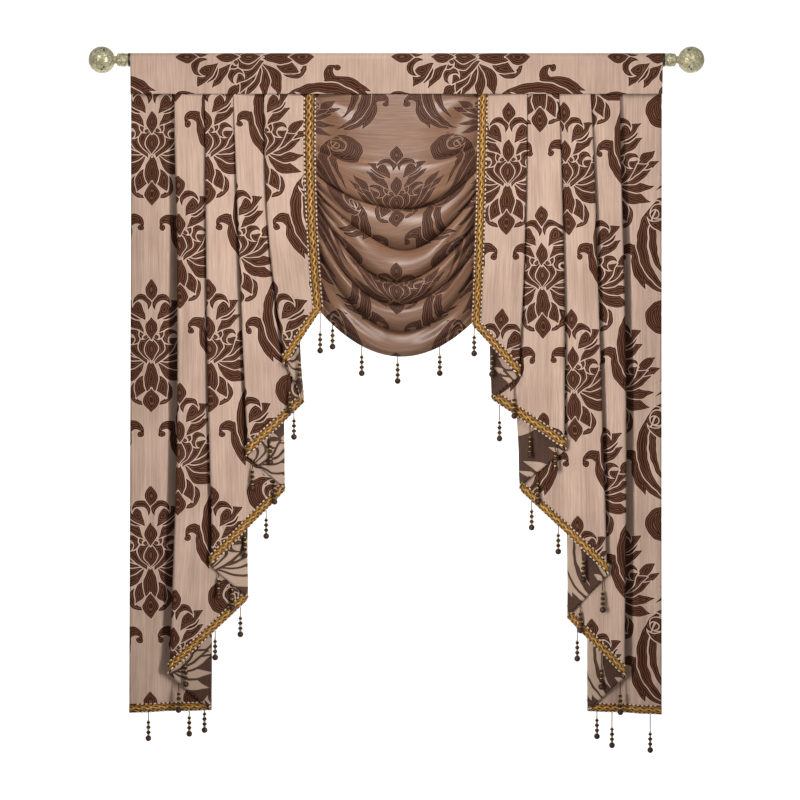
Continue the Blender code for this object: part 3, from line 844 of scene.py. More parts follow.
class Swag:
    """The cowl between the tails. Its level lines sag as parabolas between its sides, and bulge forward from
    the sides, which are tucked behind the tails' leading edges."""

    def __init__(self, cowl=0.0):
        self.cowl = cowl
        self.tails = Tail("left"), Tail("right")
        self.rows = np.array([row[1:] for row in SWAG_ROWS]) * MM

    def along(self, column, down):
        """A smooth cubic curve through one column of the table."""
        values = self.rows[:, column]
        slopes = np.gradient(values)
        place = np.clip(down, 0, 1) * (len(values) - 1)
        index = np.minimum(place.astype(int), len(values) - 2)
        share = place - index
        a, b, slope_a, slope_b = values[index], values[index + 1], slopes[index], slopes[index + 1]
        return (
            a * (1 + 2 * share) * (1 - share) ** 2
            + slope_a * share * (1 - share) ** 2
            + b * share**2 * (3 - 2 * share)
            - slope_b * share**2 * (1 - share)
        )

    def points(self, across, down, behind=0.0):
        """World points at across (-1 left to 1 right) and down (0 at the top edge, 1 at the hem)."""
        left, middle, right = (self.along(column, down) for column in range(3))
        folded = down
        if self.cowl:
            wander = np.sin(WANDER_ACROSS * across + WANDER_DOWN * down) * np.sin(math.pi * down) ** 2
            folded = down + WANDER_ROWS * wander / (len(self.rows) - 1)
        reach = self.along(3, folded)
        sag = middle - (left + right) / 2
        z = -(left + (right - left) * (across + 1) / 2 + sag * (1 - across**2))
        sides = []
        for tail, drop in zip(self.tails, (left, right)):
            out, _, _ = tail.roll(tail.last, -drop)
            sides.append(tail.side * (out + SWAG_TUCK))
        x = sides[0] + (sides[1] - sides[0]) * (across + 1) / 2
        near_middle = np.clip(np.abs(across) / (1 - SWAG_SIDE_SHARE), 0, 1)
        bulge = 1 - near_middle**SWAG_BULGE_POWER
        y = SWAG_SIDE_Y - (reach + SWAG_SIDE_Y) * bulge + behind
        if self.cowl:
            deepen, dip = self.cowl_folds(across, folded, left, middle)
            y = y + deepen + self.pulls(x, z)
            z = z - dip
        return np.stack((x, y, z), axis=-1)

    def cowl_folds(self, across, down, left, middle):
        """How far the creases go back and how far each roll's lower face dips below its level line. Both are
        waves of the table's rows, rolls on odd rows and creases on even ones, and fade at the top, the hem
        and the sides. Each crease is a narrow valley between round rolls; short ones begin at the sides."""
        row = down * (len(self.rows) - 1)
        fold = math.pi * (row - FIRST_ROLL)
        within = np.clip((row - FIRST_ROLL + ROLL_FADE_ROWS) / ROLL_FADE_ROWS, 0, 1)
        within = within * np.clip((LAST_CREASE + ROLL_FADE_ROWS - row) / ROLL_FADE_ROWS, 0, 1)
        within = within**2 * (3 - 2 * within)
        to_side = 1 - np.abs(across) ** COWL_SIDE_POWER
        valley = 1 - np.sqrt(np.cos(fold / 2) ** 2 + CREASE_SOFTNESS**2)
        drawn = self.cowl * within * to_side * valley
        for crease in SIDE_CREASES:
            near = np.exp(-(((row - crease.row) / SIDE_CREASE_ROWS) ** 2))
            grown = np.clip((np.abs(across) - crease.begin) / SIDE_CREASE_FADE, 0, 1)
            drawn = drawn + crease.depth * MM * near * to_side * grown
        wrinkles = np.sin(2 * math.pi * (WRINKLE_ROWS * row + WRINKLE_SLANT * across))
        wrinkles = wrinkles * np.abs(across) ** WRINKLE_SIDE_POWER
        drawn = drawn + WRINKLE_DEPTH * within * to_side * wrinkles
        level = left + (middle - left) * (1 - across**2)
        spacing = np.gradient(level, axis=0) / np.gradient(row, axis=0)
        return drawn, COWL_DIP * spacing * within * to_side * np.sin(fold)

    def pulls(self, x, z):
        """Small hollows and ridges that fan out from the two upper corners, where the cloth is caught: a sine
        of the angle times a bell of the distance."""
        total = 0.0
        for side in (-1, 1):
            over, under = SWAG_CORNER - side * x, -SEAM_DROP - z
            angle, away = np.arctan2(under, over), np.hypot(over, under)
            fan = np.sin(angle * PULL_WAVES + side) * np.exp(-(((away - PULL_REACH) / PULL_SPREAD) ** 2))
            total = total + PULL_DEPTH * fan * np.clip(under / PULL_START, 0, 1)
        return total


class Nodes:
    """A short way to write a material's or group's nodes, set out in a tidy grid as they are made."""

    COLUMN, ROW, ROWS = 190, 170, 8

    def __init__(self, tree):
        self.tree = tree
        self.count = 0

    def make(self, kind, **values):
        node = self.tree.nodes.new(kind)
        node.location = (self.count // self.ROWS * self.COLUMN, -(self.count % self.ROWS) * self.ROW)
        self.count += 1
        for key, value in values.items():
            setattr(node, key, value)
        return node

    def feed(self, socket, value):
        if isinstance(value, bpy.types.NodeSocket):
            self.tree.links.new(value, socket)
        else:
            socket.default_value = value

    def math(self, operation, *values):
        node = self.make("ShaderNodeMath", operation=operation)
        for socket, value in zip(node.inputs, values):
            self.feed(socket, value)
        return node.outputs[0]

    def vector(self, operation, *values):
        node = self.make("ShaderNodeVectorMath", operation=operation)
        for socket, value in zip(node.inputs, values):
            self.feed(socket, value)
        return node.outputs["Value" if operation == "DISTANCE" else "Vector"]

    def split(self, vector):
        node = self.make("ShaderNodeSeparateXYZ")
        self.feed(node.inputs[0], vector)
        return node.outputs[0], node.outputs[1]

    def placed(self, vector, location=(0, 0, 0), turn=0.0, scale=(1, 1, 1), kind="POINT"):
        node = self.make("ShaderNodeMapping", vector_type=kind)
        self.feed(node.inputs["Vector"], vector)
        node.inputs["Location"].default_value = location
        node.inputs["Rotation"].default_value = (0, 0, turn)
        node.inputs["Scale"].default_value = scale
        return node.outputs[0]

    def noise(self, vector, scale, detail=2.0, roughness=0.5):
        node = self.make("ShaderNodeTexNoise")
        self.feed(node.inputs["Vector"], vector)
        node.inputs["Scale"].default_value = scale
        node.inputs["Detail"].default_value = detail
        node.inputs["Roughness"].default_value = roughness
        return node.outputs["Fac"]

    def cells(self, vector, scale, output, **values):
        node = self.make("ShaderNodeTexVoronoi", **values)
        self.feed(node.inputs["Vector"], vector)
        node.inputs["Scale"].default_value = scale
        return node.outputs[output]

    def ramp(self, value, low, high, to_low=0.0, to_high=1.0):
        node = self.make("ShaderNodeMapRange", interpolation_type="SMOOTHSTEP")
        for socket, entry in zip(node.inputs, (value, low, high, to_low, to_high)):
            self.feed(socket, entry)
        return node.outputs["Result"]

    def mix(self, share, first, second, blend="MIX"):
        node = self.make("ShaderNodeMix", data_type="RGBA", blend_type=blend)
        self.feed(node.inputs["Factor"], share)
        colours = [socket for socket in node.inputs if socket.type == "RGBA"]
        for socket, value in zip(colours, (first, second)):
            self.feed(socket, value if isinstance(value, bpy.types.NodeSocket) else (*value, 1.0))
        return [socket for socket in node.outputs if socket.type == "RGBA"][0]

    def blended(self, first, second, share):
        """Two plain values added, the first with this share and the second with the rest."""
        return self.math("ADD", self.math("MULTIPLY", first, share), self.math("MULTIPLY", second, 1 - share))

    def bump(self, height, strength, distance):
        node = self.make("ShaderNodeBump")
        self.feed(node.inputs["Height"], height)
        node.inputs["Strength"].default_value = strength
        node.inputs["Distance"].default_value = distance
        return node.outputs[0]


class Finish(Nodes):
    """The nodes of a new material."""

    def __init__(self, name):
        self.material = bpy.data.materials.new(name)
        self.material.use_nodes = True
        super().__init__(self.material.node_tree)

    def place(self):
        return self.make("ShaderNodeTexCoord").outputs["Object"]

    def done(self, colour, roughness, normal, **constants):
        """Feed the shader, and set what is the same all over on its own sockets."""
        shader = self.tree.nodes["Principled BSDF"]
        self.feed(shader.inputs["Base Color"], colour)
        self.feed(shader.inputs["Roughness"], roughness)
        self.feed(shader.inputs["Normal"], normal)
        for name, value in constants.items():
            shader.inputs[name.replace("_", " ")].default_value = value
        return self.material


def petal_distance(nodes, point, petal):
    """Distance to a petal's edge, in its own frame where its half length and half width are 1: the width
    there falls from the middle to the tips as (1 - t^2)(1 - 0.4 t^2), and the middle line curls away as
    t^2."""
    start = np.array((petal.across_start, petal.down_start))
    end = np.array((petal.across_end, petal.down_end))
    half_length = float(np.hypot(*(end - start))) / 2
    turn = math.atan2(end[1] - start[1], end[0] - start[0])
    local = nodes.placed(
        point, (*(start + end) / 2, 0), turn, (half_length, petal.half_width, 1), kind="TEXTURE")
    lengthwise, sideways = nodes.split(local)
    squared = nodes.math("MULTIPLY", lengthwise, lengthwise)
    if petal.curl:
        sideways = nodes.math("MULTIPLY_ADD", squared, petal.curl, sideways)
    within = nodes.math("MINIMUM", squared, 1.0)
    width = nodes.math("MULTIPLY_ADD", within, PETAL_POINT, -1 - PETAL_POINT)
    width = nodes.math("MULTIPLY_ADD", width, within, 1.0)
    away = nodes.math("SUBTRACT", nodes.math("ABSOLUTE", sideways), width)
    past_tip = nodes.math("MULTIPLY_ADD", squared, half_length / 2, -half_length / 2)
    return nodes.math("MAXIMUM", nodes.math("MULTIPLY", away, petal.half_width), past_tip)


def berry_distance(nodes, point, berry):
    """Distance to a disc's edge, below zero inside it."""
    away = nodes.vector("DISTANCE", point, (berry.across, berry.down, 0))
    return nodes.math("SUBTRACT", away, berry.radius)


def scroll_distance(nodes, point, scroll):
    """Inside the first circle and outside the second."""
    inside = berry_distance(nodes, point, Berry(scroll.across, scroll.down, scroll.radius))
    cut = nodes.vector("DISTANCE", point, (scroll.cut_across, scroll.cut_down, 0))
    return nodes.math("MAXIMUM", inside, nodes.math("SUBTRACT", scroll.cut_radius, cut))


FIGURE_DISTANCES = {Petal: petal_distance, Scroll: scroll_distance, Berry: berry_distance}


def layered(nodes, below, figure):
    """Lay a figure over those below it, with a thin gap of ground round it."""
    kept = nodes.math("MAXIMUM", below, nodes.math("SUBTRACT", OUTLINE_GAP_UNITS, figure))
    return nodes.math("MINIMUM", figure, kept)


def damask_group():
    """Signed distance, in metres, to the damask's figures at a place on the flat cloth: across from a
    palmette's axis and down from its tip. The cloth is cut into columns, each mirrored about its middle, and
    every other column starts half a repeat lower. A soft noise moves each place a little, as weaving does."""
    name = "Damask figures"
    if name in bpy.data.node_groups:
        return bpy.data.node_groups[name]
    group = bpy.data.node_groups.new(name, "ShaderNodeTree")
    group.interface.new_socket("Cloth", in_out="INPUT", socket_type="NodeSocketVector")
    group.interface.new_socket("Distance", in_out="OUTPUT", socket_type="NodeSocketFloat")
    nodes = Nodes(group)
    cloth = nodes.make("NodeGroupInput").outputs[0]
    wobble = nodes.make("ShaderNodeTexNoise", noise_dimensions="2D")
    nodes.feed(wobble.inputs["Vector"], cloth)
    wobble.inputs["Scale"].default_value = WOBBLE_SCALE
    wobble.inputs["Detail"].default_value = 0.0
    shift = nodes.vector("SUBTRACT", wobble.outputs["Color"], (0.5, 0.5, 0.5))
    shift = nodes.vector("MULTIPLY", shift, (WOBBLE, WOBBLE, 0))
    x, y = nodes.split(nodes.vector("ADD", cloth, shift))
    counted = nodes.math("ADD", nodes.math("DIVIDE", x, 2 * HALF_COLUMN), 0.5)
    across = nodes.math("ABSOLUTE", nodes.math("SUBTRACT", nodes.math("FRACT", counted), 0.5))
    across = nodes.math("MULTIPLY", across, 2 * HALF_COLUMN_UNITS)
    stagger = nodes.math("FRACT", nodes.math("MULTIPLY", nodes.math("FLOOR", counted), 0.5))
    repeats = nodes.math("ADD", nodes.math("DIVIDE", y, -PATTERN_HEIGHT), stagger)
    centred = nodes.math("SUBTRACT", nodes.math("FRACT", nodes.math("ADD", repeats, 0.5)), 0.5)
    points = []
    for share in (nodes.math("FRACT", repeats), centred):
        join = nodes.make("ShaderNodeCombineXYZ")
        nodes.feed(join.inputs[0], across)
        nodes.feed(join.inputs[1], nodes.math("MULTIPLY", share, UNITS_IN_HEIGHT))
        points.append(join.outputs[0])
    from_tip, over_the_edge = points
    distance = None
    for point, figures in ((from_tip, HOOK), (over_the_edge, OVER_THE_EDGE), (from_tip, FIGURES)):
        for figure in figures:
            found = FIGURE_DISTANCES[type(figure)](nodes, point, figure)
            if distance is None:
                distance = found
            elif figures is HOOK:
                distance = nodes.math("MINIMUM", distance, found)
            else:
                distance = layered(nodes, distance, found)
    end = nodes.make("NodeGroupOutput")
    nodes.feed(end.inputs[0], nodes.math("MULTIPLY", distance, pattern_metres(1)))
    return group


def shaded(colour, share):
    """The colour lighter or darker by that share."""
    return tuple(min(1.0, part * share) for part in colour)


def damask_material(name, ground, streak, figure, line, outline, crosswise=False, satin=False):
    """Jacquard cloth: a ground of streaked threads, and figures with contour lines that follow their edges.
    Distances are metres from a figure's edge, below zero inside it."""
    nodes = Finish(name)
    cloth = nodes.make("ShaderNodeUVMap", uv_map="cloth").outputs[0]
    figures = nodes.make("ShaderNodeGroup")
    figures.node_tree = damask_group()
    nodes.feed(figures.inputs[0], cloth)
    distance = figures.outputs[0]
    thread_scale, band_scale = THREAD_SCALE, BAND_SCALE
    if crosswise:
        thread_scale, band_scale = thread_scale[::-1], band_scale[::-1]
    threads = nodes.noise(nodes.placed(cloth, scale=(*thread_scale, 1)), 1.0, detail=3.0)
    bands = nodes.noise(nodes.placed(cloth, scale=(*band_scale, 1)), 1.0)
    streaks = nodes.blended(threads, bands, 0.55)
    base = nodes.mix(nodes.ramp(streaks, 0.34, 0.66), streak, ground)
    halo = nodes.ramp(distance, 0.0030, 0.0008, 0.0, 0.3)
    base = nodes.mix(halo, base, shaded(ground, 1.3))
    rings = nodes.math("SINE", nodes.math("MULTIPLY", distance, 2 * math.pi / LINE_PITCH))
    broken = nodes.ramp(threads, 0.3, 0.7, 0.5, 1.0)
    woven = nodes.mix(nodes.math("MULTIPLY", nodes.ramp(rings, 0.2, 0.9), broken), figure, line)
    woven = nodes.mix(nodes.ramp(distance, -0.0022, -0.0009), woven, outline)
    inside = nodes.ramp(distance, 0.0005, -0.0005)
    colour = nodes.mix(inside, base, woven)
    patina = nodes.ramp(nodes.noise(cloth, 7.0, detail=4.0), 0.3, 0.7, 0.0, 0.16)
    colour = nodes.mix(patina, colour, PATINA, blend="MULTIPLY")
    roughness = nodes.ramp(inside, 0.0, 1.0, 0.33 if satin else 0.56, 0.75)
    return nodes.done(
        colour, roughness, nodes.bump(threads, 0.3, 0.0005),
        Sheen_Weight=0.02, Sheen_Roughness=0.4, Specular_IOR_Level=0.36 if satin else 0.12)


def painted_metal(name, paint, flaw, crackled):
    """Champagne paint: cracks between flakes and pale flakes whose colour paints glints where crackled, and
    nearly smooth where not.
    """
    nodes = Finish(name)
    place = nodes.place()
    cell_scale, crack_share, glint_share, relief = CRACKLED_PAINT if crackled else SMOOTH_PAINT
    away = nodes.cells(place, cell_scale, "Distance", feature="DISTANCE_TO_EDGE")
    cracks = nodes.ramp(away, 0.09, 0.02)
    tint = nodes.make("ShaderNodeSeparateColor")
    nodes.feed(tint.inputs[0], nodes.cells(place, FLAKE_SCALE, "Color"))
    glinting_flakes = nodes.ramp(tint.outputs[0], 0.66, 0.96)
    cloudy = nodes.noise(place, 42.0, detail=4.0)
    base = nodes.mix(nodes.ramp(cloudy, 0.35, 0.7, 0.0, 0.6), paint, shaded(paint, 0.55))
    base = nodes.mix(nodes.math("MULTIPLY", cracks, crack_share), base, flaw)
    # Painted glint: the flakes take a near-white colour whatever the light falls on them.
    base = nodes.mix(nodes.math("MULTIPLY", glinting_flakes, glint_share), base, FLAKE_GLINT_COLOUR)
    height = nodes.math("SUBTRACT", nodes.math("MULTIPLY", cloudy, 0.5), cracks)
    height = nodes.math("ADD", height, nodes.math("MULTIPLY", glinting_flakes, 0.4))
    roughness = nodes.ramp(cloudy, 0.3, 0.7, 0.24, 0.44)
    return nodes.done(base, roughness, nodes.bump(height, 0.6, relief), Metallic=0.45)


def thread_material(name, light, shade, scale, roughness=0.5, metallic=0.0):
    """Twisted thread: a fine noise for its strands over a broad one, lighter where strands catch light."""
    nodes = Finish(name)
    place = nodes.place()
    strands = nodes.noise(place, scale, detail=3.0, roughness=0.65)
    share = nodes.blended(strands, nodes.noise(place, scale / 7, detail=2.0), 0.65)
    base = nodes.mix(nodes.ramp(share, 0.36, 0.62), shade, light)
    rough = nodes.ramp(strands, 0.2, 0.8, roughness - 0.1, roughness + 0.15)
    return nodes.done(
        base, rough, nodes.bump(strands, 0.5, 0.0005), Metallic=metallic, Specular_IOR_Level=0.3)


def bead_material(name, dark):
    """Dark polished beads with faint swirls."""
    nodes = Finish(name)
    swirl = nodes.noise(nodes.place(), 160.0, detail=3.0)
    base = nodes.mix(nodes.ramp(swirl, 0.4, 0.75), dark, shaded(dark, 2.4))
    rough = nodes.ramp(swirl, 0.3, 0.7, 0.12, 0.25)
    return nodes.done(base, rough, nodes.bump(swirl, 0.12, 0.0004), Specular_IOR_Level=0.3)


def spacer_material(name, gilt):
    """Worn gilt spacers."""
    nodes = Finish(name)
    wear = nodes.noise(nodes.place(), 240.0, detail=3.0)
    base = nodes.mix(nodes.ramp(wear, 0.45, 0.8), gilt, shaded(gilt, 0.4))
    rough = nodes.ramp(wear, 0.3, 0.7, 0.2, 0.4)
    return nodes.done(base, rough, nodes.bump(wear, 0.3, 0.0004), Metallic=0.9)


def plain_material(name, pale):
    """Floor and backdrop: a plain matt paper with the faintest unevenness."""
    nodes = Finish(name)
    cloud = nodes.noise(nodes.place(), 0.6)
    base = nodes.mix(nodes.ramp(cloud, 0.3, 0.7, 0.0, 0.05), pale, shaded(pale, 0.96))
    return nodes.done(base, 0.85, nodes.bump(cloud, 0.02, 0.001))


def shared_material(name, make, *values, **options):
    """The material of that name, made on first use."""
    return bpy.data.materials.get(name) or make(name, *values, **options)


def damask_pair(face="damask_face"):
    """Face and reverse of the cloth. The heading and the swag show their threads across the pattern."""
    tones = bpy.context.scene.valance_damask
    satin = face == "damask_satin"
    ground, streak = (tones.satin, tones.satin_streak) if satin else (tones.ground, tones.ground_streak)
    return [
        shared_material(
            face, damask_material, ground, streak, tones.figure, tones.figure_line, tones.outline,
            crosswise=face != "damask_face", satin=satin),
        shared_material(
            "damask_reverse", damask_material, tones.reverse_ground, shaded(tones.reverse_ground, 0.7),
            tones.reverse, shaded(tones.reverse, 0.85), tones.outline),
    ]


def declare(piece, node):
    """Every new piece rides on the part's one body and stands for a node, whose solid is hidden."""
    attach(piece, "root")
    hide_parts(node)


def unit(vectors):
    """The same directions with length 1."""
    return vectors / np.linalg.norm(vectors, axis=-1, keepdims=True)


def path_length(points):
    """Length along a path, from its first point to each of its points."""
    steps = np.linalg.norm(np.diff(points, axis=0), axis=-1)
    return np.concatenate(([0], np.cumsum(steps)))


def read_at(places, along, rows):
    """Points read by their length along a path."""
    return np.stack([np.interp(places, along, rows[:, axis]) for axis in range(3)], axis=-1)


def braid_path(tail):
    """The braid's two long edges and its face normals, from the seam down the leading edge and out along the
    hem. Points: the tail's surface at matching places, the upper row a band's height above the lower one."""
    start = -SEAM_DROP - BRAID_BELOW_SEAM
    section = tail.last - 1
    inner = 1 - tail.braid_share
    lead_place = tail.place(section, np.array([1.0]), False)
    inner_place = tail.place(section, np.array([inner]), False)
    upper, lower, normals = [], [], []

    def add(index, rolled, upper_share, upper_z, lower_share, lower_z):
        get = tail.on_roll if rolled else tail.on_stretch
        spot, normal = get(index, upper_share, upper_z)
        upper.append(tail.world(spot, upper_z))
        spot, _ = get(index, lower_share, lower_z)
        lower.append(tail.world(spot, lower_z))
        normals.append(np.stack((tail.side * normal[:, 0], normal[:, 1], 0 * normal[:, 0]), axis=-1))

    down = np.linspace(0, 1, LEAD_POINTS)
    same = np.ones_like(down)
    inner_z = start + (tail.band_top(inner_place) - start) * down
    lead_z = start + (tail.hem(lead_place) - start) * down
    add(section, False, inner * same, inner_z, same, lead_z)
    for index in range(section, -1, -1):
        away = np.linspace(1, 0, SECTION_POINTS)[1:]
        upper_share = away * inner if index == section else away
        upper_z = tail.band_top(tail.place(index, upper_share, False))
        lower_z = tail.hem(tail.place(index, away, False))
        add(index, False, upper_share, upper_z, away, lower_z)
        if index:
            turn = np.linspace(1, 0, TURN_POINTS)
            place = tail.place(index, turn, True)
            add(index, True, turn, tail.band_top(place), turn, tail.hem(place))
    return np.concatenate(upper), np.concatenate(lower), np.concatenate(normals)


def braid_object(name, tail, settings, cloth_thickness, materials):
    """A woven band, cords that swing across it as shifted sine waves and rise at each end of a swing, and a
    row of stitches along each edge, all in one mesh."""
    upper, lower, normals = braid_path(tail)
    along = path_length((upper + lower) / 2)
    places = np.linspace(0, along[-1], int(along[-1] / BRAID_SPACING))
    upper, lower, normals = (read_at(places, along, rows) for rows in (upper, lower, normals))
    normals = unit(normals)
    middle = (upper + lower) / 2
    band_y = cloth_thickness / 2 + BRAID_GAP + settings.braid_thickness / 2
    band_face = band_y + settings.braid_thickness / 2
    shares = np.linspace(0, 1, BAND_COLUMNS)[None, :, None]
    crown = BAND_CROWN * np.sin(math.pi * shares)
    band = upper[:, None] * (1 - shares) + lower[:, None] * shares + normals[:, None] * (band_y + crown)
    under = band - normals[:, None] * settings.braid_thickness
    cross = unit(np.cross(unit(np.gradient(middle, axis=0)), normals))
    width = np.abs(np.sum((upper - lower) * cross, axis=-1))[:, None]
    parts = TurnedParts()
    parts.add(np.concatenate((band, under[:, ::-1]), axis=1)[None], BRAID_GROUND)
    for number in range(BRAID_CORDS):
        phase = 2 * math.pi * (places / settings.cord_wave + number / BRAID_CORDS)[:, None]
        beside = CORD_SPREAD * (number - (BRAID_CORDS - 1) / 2)
        swing = (beside + CORD_SWING * np.sin(phase)) * width
        cord = middle + cross * swing + normals * (band_face + CORD_LIFT + CORD_LIFT_WAVE * np.cos(2 * phase))
        direction = unit(np.gradient(cord, axis=0))
        first = unit(np.cross(direction, normals))
        radii = np.full(len(cord), settings.cord_radius)
        rings = carried_rings(cord, radii, CORD_SIDES, first, np.cross(direction, first))
        parts.add(rings[None], PALE_CORD if number % 2 else GOLD_CORD)
    pitch = settings.stitch_pitch
    offsets = np.linspace(-STITCH_HALF_LENGTH, STITCH_HALF_LENGTH, len(STITCH_PROFILE)) * pitch
    spots = np.arange(pitch, along[-1] - pitch, pitch)[:, None] + offsets[None, :]
    radii = np.broadcast_to(np.array(STITCH_PROFILE) * settings.stitch_radius, spots.shape)
    facing = unit(read_at(spots, places, normals))
    for edge in (-STITCH_EDGE, STITCH_EDGE):
        line = middle + cross * edge * width + normals * (band_face + STITCH_LIFT)
        path = read_at(spots, places, line)
        direction = unit(np.gradient(path, axis=1))
        first = unit(np.cross(direction, facing))
        parts.add(carried_rings(path, radii, CORD_SIDES, first, np.cross(direction, first)), CREAM_STITCH)
    return parts.made(name, materials)


def drops_object(name, roots, settings, materials):
    """Bead drops: each is a thread from its root to its end, with beads turned from half sine outlines on it.
    A drop's root is its point, its reach below the hem and how far it leans back on the way down."""
    tops = np.array([root for root, _, _ in roots])
    ends = np.array([root - np.array((0, lean, reach)) for root, reach, lean in roots])
    lengths = (tops - ends)[:, 2]
    direction = unit(tops - ends)
    first = unit(np.cross((0.0, 1.0, 0.0), direction))
    second = np.cross(direction, first)
    parts = TurnedParts()

    def add(rise, radii, sides, kind, drops):
        path = ends[drops, None, :] + direction[drops, None, :] * rise[..., None]
        radii = np.broadcast_to(radii, path.shape[:2])
        parts.add(carried_rings(path, radii, sides, first[drops, None, :], second[drops, None, :]), kind)

    for bead in BEADS:
        rings, sides = LARGE_BEAD if bead is BEADS[0] else SMALL_BEAD
        angles = np.linspace(BEAD_POLE, math.pi - BEAD_POLE, rings)
        rise = bead.above_end * MM - bead.half_height * settings.ball_radius * np.cos(angles)
        radii = bead.radius * settings.ball_radius * np.sin(angles)
        long_enough = lengths > (bead.above_end + CLEAR_OF_HEM) * MM
        if long_enough.any():
            add(rise[None, :], radii, sides, bead.material, long_enough)
    low = BEADS[0].above_end * MM
    rise = low + (lengths[:, None] - low) * np.linspace(0.0, 1.0, THREAD_RINGS)[None, :]
    add(rise, settings.thread_radius, THREAD_SIDES, THREAD, slice(None))
    return parts.made(name, materials)


def drop_materials():
    """Bead, spacer and thread, in the order that BEADS counts them."""
    trim = bpy.context.scene.valance_trim
    return [
        shared_material("bead_glass", bead_material, trim.bead),
        shared_material("spacer_gilt", spacer_material, trim.spacer),
        shared_material("drop_thread", thread_material, trim.gold_shade, trim.bead, 900.0),
    ]


class VALANCE_OT_rod(Operator):
    """Paint the curtain rod, whose solid keeps its shape"""

    bl_idname = "valance.rod"
    bl_label = "Rod"
    bl_options = {"REGISTER", "UNDO"}

    def execute(self, context):
        tones = context.scene.valance_finials
        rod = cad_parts["rod"]
        rod.data.materials.clear()
        rod.data.materials.append(
            shared_material("rod_paint_satin", painted_metal, tones.paint, tones.crackle, False))
        return {"FINISHED"}


class VALANCE_OT_finials(Operator):
    """Turn both ball finials: a collar with two grooves and a painted shadow where it meets the heading, a
    neck, and a crackled ball with studs
    """

    bl_idname = "valance.finials"
    bl_label = "Finials"
    bl_options = {"REGISTER", "UNDO"}

    def execute(self, context):
        sizes = context.scene.valance_finials
        # The second material is dark: the studs' own colour, and a painted shadow on the collar's end by the
        # heading.
        materials = [
            shared_material("finial_crackle", painted_metal, sizes.paint, sizes.crackle, True),
            shared_material(
                "collar_end", painted_metal, shaded(sizes.crackle, 0.22), shaded(sizes.crackle, 0.1), False),
        ]
        neck_angle = math.asin(NECK_RADIUS / sizes.ball_radius)
        angles = np.linspace(math.pi - neck_angle, BALL_POLE, BALL_RINGS)
        collar = np.array(COLLAR_OUTLINE) * MM
        offsets = np.concatenate((collar[:, 0], BALL_OFFSET + sizes.ball_radius * np.cos(angles)))
        radii = np.concatenate((collar[:, 1], sizes.ball_radius * np.sin(angles)))
        for name, side in TAIL_SIDE.items():
            path = np.stack((side * offsets, 0 * offsets, 0 * offsets), axis=-1)
            first, second = np.array(((0.0, 1.0, 0.0), (0.0, 0.0, 1.0)))[::side]
            parts = TurnedParts()
            parts.add(carried_rings(path, radii, sizes.sides, first, second)[None], 0)
            # The first rings take the dark material: a painted shadow where the collar meets the heading.
            shadowed_faces = SHADOW_RINGS * sizes.sides
            parts.kinds[:shadowed_faces] = [1] * shadowed_faces
            parts.add(self.studs(side, sizes), 1)
            declare(parts.made(f"ball_finial_{name}", materials), f"finial_{name}")
        return {"FINISHED"}

    def studs(self, side, sizes):
        """Short dark pegs that stand out of the ball: shape (studs, rings, sides, 3)."""
        along, around = np.array(STUDS).T
        around = np.radians(around)
        flat = np.sqrt(1 - along**2)
        out = np.stack((-side * along, -flat * np.cos(around), flat * np.sin(around)), axis=-1)
        first = unit(np.cross((1.0, 0.0, 0.0), out))
        second = np.cross(out, first)
        heights = sizes.ball_radius + np.array(STUD_RISES)
        path = np.array((side * BALL_OFFSET, 0.0, 0.0)) + out[:, None, :] * heights[None, :, None]
        radii = np.broadcast_to(np.array(STUD_OUTLINE) * sizes.stud_radius, path.shape[:2])
        return carried_rings(path, radii, STUD_SIDES, first[:, None, :], second[:, None, :])


class VALANCE_OT_heading(Operator):
    """Fold the heading over the rod: front leg, arc, back leg, with a ripple and the seam's small puckers"""

    bl_idname = "valance.heading"
    bl_label = "Heading"
    bl_options = {"REGISTER", "UNDO"}

    def execute(self, context):
        cloth = context.scene.valance_cloth
        radius = ROD_RADIUS + HEADING_GAP + cloth.thickness / 2
        foot_y = HEADING_HALF_GAP + cloth.thickness / 2
        lean = math.atan2(radius - foot_y, SEAM_DROP)
        angles = np.linspace(math.pi + lean, -lean, HEADING_ARC_ROWS)
        arc_y, arc_z = radius * np.cos(angles), radius * np.sin(angles)
        share = np.linspace(0, 1, HEADING_LEG_ROWS + 1)[:-1]
        leg_y = -foot_y + (arc_y[0] + foot_y) * share
        leg_z = -SEAM_DROP + (arc_z[0] + SEAM_DROP) * share
        section_y = np.concatenate((leg_y, arc_y, -leg_y[::-1]))
        section_z = np.concatenate((leg_z, arc_z, leg_z[::-1]))
        across = np.linspace(-HEADING_HALF_WIDTH, HEADING_HALF_WIDTH, HEADING_COLUMNS)
        hang = np.clip(-section_z / SEAM_DROP, 0, 1)[:, None]
        quick, slow = RIPPLE_WAVES
        swell = 0.5 - 0.5 * np.cos(across * quick) * np.cos(across * slow)
        ripple = HEADING_RIPPLE * hang * swell[None, :]
        gathers = np.abs(np.sin(across * PUCKER_WAVES + PUCKER_WANDER * np.sin(across * PUCKER_WANDER_WAVES)))
        near_seam = np.exp(-(section_z[:, None] + SEAM_DROP) / PUCKER_HEIGHT)
        pucker = cloth.pucker * near_seam * gathers[None, :]
        grid = np.empty((len(section_y), len(across), 3))
        grid[..., 0] = across
        grid[..., 1] = section_y[:, None] + (ripple + pucker) * np.sign(section_y)[:, None]
        grid[..., 2] = section_z[:, None]
        along = path_length(np.stack((section_y, section_z), axis=-1))
        front = slice(HEADING_LEG_ROWS + HEADING_ARC_ROWS // 2)
        axis_along = np.interp(HEADING_MOTIF_RISE, section_z[front], along[front])
        flat = np.empty((len(section_y), len(across), 2))
        flat[..., 0] = (axis_along - along)[:, None]
        flat[..., 1] = -(across[None, :] - HEADING_MOTIF_START) * HEADING_MOTIF_SCALE
        made = cloth_object(
            "heading_cloth", grid[::-1], flat[::-1], cloth.thickness, damask_pair("damask_heading"))
        declare(made, "heading")
        return {"FINISHED"}


